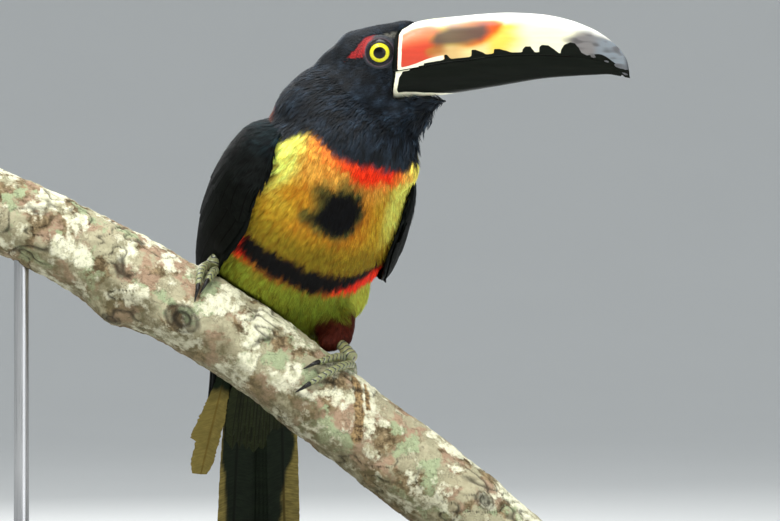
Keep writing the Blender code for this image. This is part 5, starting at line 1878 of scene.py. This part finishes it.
wingLooks = (
    vaneFinish("wingVane", (0.0016, 0.002, 0.0017), (0.0052, 0.0064, 0.005), 0.5, 0.03,
        (0.0012, 0.001, 0.0008)),
    plumageFinish("covert", 0.5, 1.9, 0.4, 0.5, -0.12, fuzz=0.0),
)
for side in sides:
    buildWing(side, *wingLooks)
for helper in templates.values():
    bpy.data.objects.remove(helper)
print("wings made")


# The tail: stepped pairs of long vanes

tail = {
    "root": np.array((-5.5, 40.5, 147)),
    "tip": np.array((-9.0, 92, 24)),
    "steps": (1.0, 0.985, 0.93, 0.84, 0.7),
    "half": 7.85,
    "offset": 8.4,
    "rootShare": 0.93,
    "offsetStep": 0.75,
    "spread": 0.5,
    "loose": {"root": np.array((-19.5, 23.5, 158)), "length": 54, "spread": 12},
    "tan": (0.255, 0.20, 0.056),
    "green": (0.0105, 0.017, 0.0085),
    # coverts over the roots: depths of their rows in front of the tail or behind, count, length, half width
    "coverts": ((8.2, 7.2, 6.2, 5.4, -2.2, -3.0), 7, 30, 4.4),
}


def tailTone(across, along, length, pair, side):
    # dark green vanes; the outer ones are bleached to tan olive along their outer webs
    outer = across if side == "right" else -across
    tan = np.array(tail["tan"])
    base = np.tile(np.array(tail["green"]), (across.size, 1))
    flat, onward = outer.ravel(), along.ravel() / length
    points = np.column_stack([flat * 3, onward * 30, np.full(len(flat), pair * 7.0)])
    blotch = speckle(points, 2.2, 81 + pair) - 0.5
    if side == "right" and pair == 4:
        bleach = ease(0.16, 0.30, onward + blotch * 0.1)
    elif pair == 4:
        bleach = ease(-0.12, 0.12, flat + blotch * 0.5 - 0.8 + 2.5 * (onward - 0.24))
    else:
        bleach = ease(-0.1, 0.1, flat + blotch * 0.4 - 1.2 + 1.3 * onward) * (side == "right" and pair == 3)
    base = base * (1 - bleach)[:, None] + tan * bleach[:, None]
    return base * (0.85 + 0.35 * speckle(points, 0.9, 91))[:, None]


def buildTail():
    down = unit(tail["tip"] - tail["root"])
    length = np.linalg.norm(tail["tip"] - tail["root"])
    right = unit(rightWay - down * (down @ rightWay))
    front = np.cross(down, right)
    front = front if front[1] < 0 else -front
    wornLook = vaneFinish("wornVane", (0.86, 0.84, 0.84), (1.1, 1.1, 1.1), 0.6, 0.05, (0.75, 0.66, 0.55))
    look = vaneFinish("tailVane", (0.62, 0.62, 0.62), (1.25, 1.25, 1.25), 0.5, 0.12, (0.42, 0.38, 0.34))
    groups = {"tailVanes": ([], [], []), "wornVane": ([], [], [])}
    for pair, share in enumerate(tail["steps"]):
        for side, sign in (("right", 1), ("left", -1)):
            node = f"tail_{side}_{pair + 1}"
            worn = node == "tail_right_5"
            spread, reach = tail["spread"] * pair, length * share
            inward = 1.5 * (1 - pair / 4)
            out = tail["offset"] * tail["rootShare"] + tail["offsetStep"] * pair - inward
            root = tail["root"] + right * sign * out + front * pair
            if worn:
                spread, reach, root = (tail["loose"][key] for key in ("spread", "length", "root"))
            lean = radians(spread) * sign
            along = down * cos(lean) + right * sin(lean)
            aside = right * cos(lean) - down * sin(lean)
            path = along * reach + aside * tail["offset"] * (1 - tail["rootShare"]) * sign
            shares = np.linspace(0, 1, 64)
            halves = tail["half"] * 1.02 * (0.84 + 0.16 * np.sin(np.minimum(shares / 0.4, 1) * pi / 2))
            halves *= np.sqrt(np.maximum(1 - np.maximum(0, (shares - 0.86) / 0.14) ** 2, 0.03))
            if worn:
                # the loose feather's outer web spreads, then steps in where barbs are lost; its end is blunt
                wide = np.interp(shares, (0, 0.15, 0.66, 0.69, 0.9, 1), (0.42, 0.5, 1.3, 0.86, 0.82, 0.6))
                near = np.interp(shares, (0, 0.2, 0.5, 0.9, 1), (0.42, 0.62, 0.8, 0.7, 0.45))
                halves = tail["half"] * np.column_stack([near, wide])
            sway = 0.35 * np.sin(shares * 5 + pair * 1.7 + sign) * shares
            middles = root + path * shares[:, None] + front * sway[:, None] * 0.4
            rows = len(shares)
            rings, across, onward = vaneRings(
                middles, np.tile(aside, (rows, 1)), np.tile(front, (rows, 1)), halves, thick=0.3, columns=15,
                camber=0.5, ragged=0.12 if worn else 0.035, seed=30 + pair * 2 + (sign > 0))
            vanes, tones, nodes = groups["wornVane" if worn else "tailVanes"]
            vanes.append((rings, across, onward))
            tones.append(tailTone(across, onward, reach, pair, side))
            nodes.append(node)
    coverts, shades = [], []
    numbers = np.random.default_rng(17)
    depths, count, long, half = tail["coverts"]
    shares = np.linspace(0, 1, 24)
    halves = half * np.sin(np.minimum(0.35 + shares * 1.6, 1) * pi / 2)
    halves = halves * np.sqrt(np.maximum(1 - np.maximum(0, (shares - 0.6) / 0.4) ** 2, 0.02))
    for row, depth in enumerate(depths):
        for i in range(count):
            across = (i - 3) * 3.9 + (1.9 if row % 2 else 0) + numbers.uniform(-0.6, 0.6)
            root = tail["root"] + right * across * 0.8 + front * depth - down * (16 - 5 * (row % 4))
            reach = long + numbers.uniform(-2, 2)
            lean = across * 0.006
            path = down * reach + right * reach * lean - front * (depth * 0.45 if depth > 0 else 0)
            middles = root + path * shares[:, None]
            side = front if depth > 0 else -front
            coverts.append(vaneRings(
                middles, np.tile(right, (24, 1)), np.tile(side, (24, 1)), halves, thick=0.12, columns=9,
                camber=0.7, ragged=0.12, seed=200 + row * 10 + i))
            shade = (0.022, 0.028, 0.009) if depth > 0 else (0.012, 0.017, 0.010)
            shades.append(np.array(shade) * numbers.uniform(0.7, 1.3))
    piece = vanePiece("tailCoverts", coverts, look, shades)
    for name, (vanes, tones, nodes) in groups.items():
        piece = vanePiece(name, vanes, wornLook if name == "wornVane" else look, tones)
        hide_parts(*nodes)
    print("tail made")


buildTail()


# The legs and feet

feet = {
    "right": {
        "pad": (-35.3, -3),
        "toes": {
            "inner": ((-33.4, 6), (-33.8, 24), (-33.8, 42)),
            "outer": ((-37.4, 6), (-38, 32), (-35.8, 57)),
            "hind_inner": ((-33.4, -12), (-30, -50), (-27.5, -84)),
            "hind_outer": ((-37.4, -12), (-41, -50), (-43, -80)),
        },
    },
    "left": {
        "pad": (24.4, -3),
        "toes": {
            "inner": ((22.3, 6), (19.4, 30), (16.3, 52)),
            "outer": ((26.4, 8), (22.4, 46), (18.6, 82)),
            "hind_inner": ((22.4, -12), (20, -50), (19, -80)),
            "hind_outer": ((26.8, -12), (31, -52), (33.5, -86)),
        },
    },
}


# toes and shank: radii along them, rings of points, scales' spacing; claw: length, root and tip radius
limb = {
    "toeRadii": (2.05, 1.95, 1.85, 1.7, 1.1),
    "toeRows": 110,
    "knuckles": (0.30, 0.60, 0.90),
    "shankRadii": (2.5, 2.5, 2.75, 3.9, 2.4),
    "shankRows": 90,
    "scutes": 2.7,
    "claw": (8, 1.08, 0.12),
}


def limbRings(points, radii, tops, columns=28):
    # rings round a limb; column 0 faces the given top
    ways = unit(np.gradient(points, axis=0))
    tops = laidOn(tops, ways)
    asides = np.cross(ways, tops)
    turns = turnsOf(columns)
    radii = np.asarray(radii, float)
    radii = radii if radii.ndim == 2 else np.repeat(radii[:, None], columns, axis=1)
    spokes = tops[:, None] * np.cos(turns)[None, :, None] + asides[:, None] * np.sin(turns)[None, :, None]
    return points[:, None] + spokes * radii[..., None], np.tile(turns, (len(points), 1))


def scalyFinish():
    finish, shader = newFinish("footScales", Subsurface_Weight=0.05, Coat_Weight=0.4, Coat_Roughness=0.22)
    seam = field("seam")["Fac"]
    under = field("under")["Fac"]
    fine = noise(1500, 4)
    hide = mixed(noise(230, 4), (0.10, 0.11, 0.035), (0.32, 0.33, 0.14))
    hide = mixed(step(fine, 0.5, 0.7, 0, 0.5), hide, (0.38, 0.38, 0.24))
    hide = mixed(step(under, 0.2, 0.9, 0, 0.7), hide, (0.27, 0.26, 0.15))
    # a pale band beside each seam: painted highlight on the scutes' edges
    hide = mixed(step(seam, 0.1, 0.35, 0, 0.3), hide, (0.45, 0.47, 0.40))
    hide = mixed(step(seam, 0.45, 0.8, 0, 0.95), hide, (0.012, 0.014, 0.008))
    wire(shader, "Base Color", hide)
    wire(shader, "Roughness", step(fine, 0.3, 0.7, 0.38, 0.62))
    pebbles = pebbled(2100)
    height = plus(times(fine, 0.4), times(minus(0.7, pebbles), under))
    relief(shader, height, 0.55, 0.2)
    return finish


def clawFinish():
    finish, shader = newFinish("clawHorn", Specular_IOR_Level=0.25, Coat_Weight=0.08, Coat_Roughness=0.15)
    grow = noise(700, 4)
    wire(shader, "Base Color", mixed(grow, (0.005, 0.0045, 0.004), (0.020, 0.017, 0.015)))
    wire(shader, "Roughness", step(grow, 0.3, 0.7, 0.25, 0.45))
    relief(shader, grow, 0.2, 0.15)
    return finish


def scutes(lengths, turns, seed):
    # ring scales over the top of a toe: how far they stand out, and where their seams are
    wobble = 0.22 * np.sin(turns * 2 + seed) + 0.1 * np.sin(turns * 5 + seed * 2)
    phase = lengths[:, None] / limb["scutes"] + wobble
    share = phase % 1
    over = ease(-0.35, 0.25, np.cos(turns))
    bulge = (np.sin(pi * np.clip(share * 1.1, 0, 1)) ** 0.6 - 0.6) * over
    seam = np.maximum(ease(0.66, 0.88, share), ease(0.16, 0.0, share)) * over
    return bulge, seam


def buildToe(stations, seed):
    rows = limb["toeRows"]
    places = smoothCurve(stations, rows)
    share = np.linspace(0, 1, rows)
    radii = np.interp(share, np.linspace(0, 1, 5), limb["toeRadii"])
    points = np.array([branchPoint(x, angle, 0.1 + r) for (x, angle), r in zip(places, radii)])
    tops = np.array([p - branchCourse(x)[0] for p, (x, _) in zip(points, places)])
    length = runLength(points)
    turns = np.tile(turnsOf(28), (rows, 1))
    bulge, seam = scutes(length, turns, seed)
    joints = sum(np.exp(-(((share - at) / 0.055) ** 2)) for at in limb["knuckles"])[:, None]
    below = ease(0.1, -0.8, np.cos(turns))
    wide = radii[:, None] * (0.93 + 0.10 * joints + 0.10 * joints * below) + bulge * 0.27
    closed = np.sqrt(np.clip(1 - ((share - 0.94) / 0.065).clip(0) ** 2, 0.02, 1))[:, None]
    rings, _ = limbRings(points, wide * closed, tops)
    piece = loftPiece("toe", rings, fields={"seam": seam, "under": below})
    # the claw goes on from the toe's end and comes down to the bark
    last, before = (branchPoint(x, angle, 1.5) for x, angle in (places[-1], places[-10]))
    pace = (places[-1] - places[-10]) / np.linalg.norm(last - before)
    share = np.linspace(0, 1, 34)
    reach, thick, thin = limb["claw"]
    spots = places[-1] + pace * (reach * share - 0.6)[:, None]
    radii = thick * (1 - share) ** 0.8 + thin
    lift = 1.4 * np.sin(pi * np.minimum(share * 1.25, 1)) * (1 - share)
    course = np.array([branchPoint(x, angle, 0.35 + r + up) for (x, angle), r, up in zip(spots, radii, lift)])
    tops = np.array([p - branchCourse(x)[0] for p, (x, _) in zip(course, spots)])
    turns = turnsOf(18)
    ridge = radii[:, None] * (1 + 0.12 * np.cos(turns) ** 3 - 0.12 * ease(0.2, 0.9, -np.cos(turns)))
    claw = loftPiece("claw", limbRings(course, ridge, tops, 18)[0])
    return piece, claw


def buildShank(side, foot):
    knee, ankle = (np.array(p, float) for p in thighs[side][1:])
    rows, radii = limb["shankRows"], limb["shankRadii"]
    ball = branchPoint(*foot["pad"], 0.35 + radii[3] * 0.9)
    beyond = ball + unit(ball - ankle) * 2.4
    line = [ankle + (knee - ankle) * 0.3, ankle, (ankle + ball) / 2 + np.array((0, 0, 1)), ball, beyond]
    course = smoothCurve([(*p, r) for p, r in zip(line, radii)], rows)
    points, radii = course[:, :3], course[:, 3]
    length = runLength(points)
    turns = np.tile(turnsOf(36), (rows, 1))
    bulge, seam = scutes(length, turns, 4)
    closed = np.sqrt(np.clip(1 - ((length - length[-1] + 2.2) / 2.25).clip(0) ** 2, 0.02, 1))[:, None]
    tops = np.tile(np.array((0.15, -1.0, 0.25)), (rows, 1))
    rings, _ = limbRings(points, (radii[:, None] * 0.97 + bulge * 0.2) * closed, tops, 36)
    return loftPiece("shank", rings, fields={"seam": seam, "under": ease(0.1, -0.8, np.cos(turns))})


def buildFeet():
    scaly, horn = scalyFinish(), clawFinish()
    for side, foot in feet.items():
        bones, claws = [buildShank(side, foot)], []
        for seed, (toe, stations) in enumerate(foot["toes"].items()):
            bone, claw = buildToe(stations, seed + 1)
            bones.append(bone)
            claws.append(claw)
        made = joinPieces("foot" + side.title(), bones, scaly)
        bind(made, "foot_scales", "shank_" + side, *[f"toe_{side}_{toe}" for toe in foot["toes"]])
        made = joinPieces("claws" + side.title(), claws, horn)
        bind(made, "claw_horn", *[f"claw_{side}_{toe}" for toe in foot["toes"]])
    print("feet made")


buildFeet()
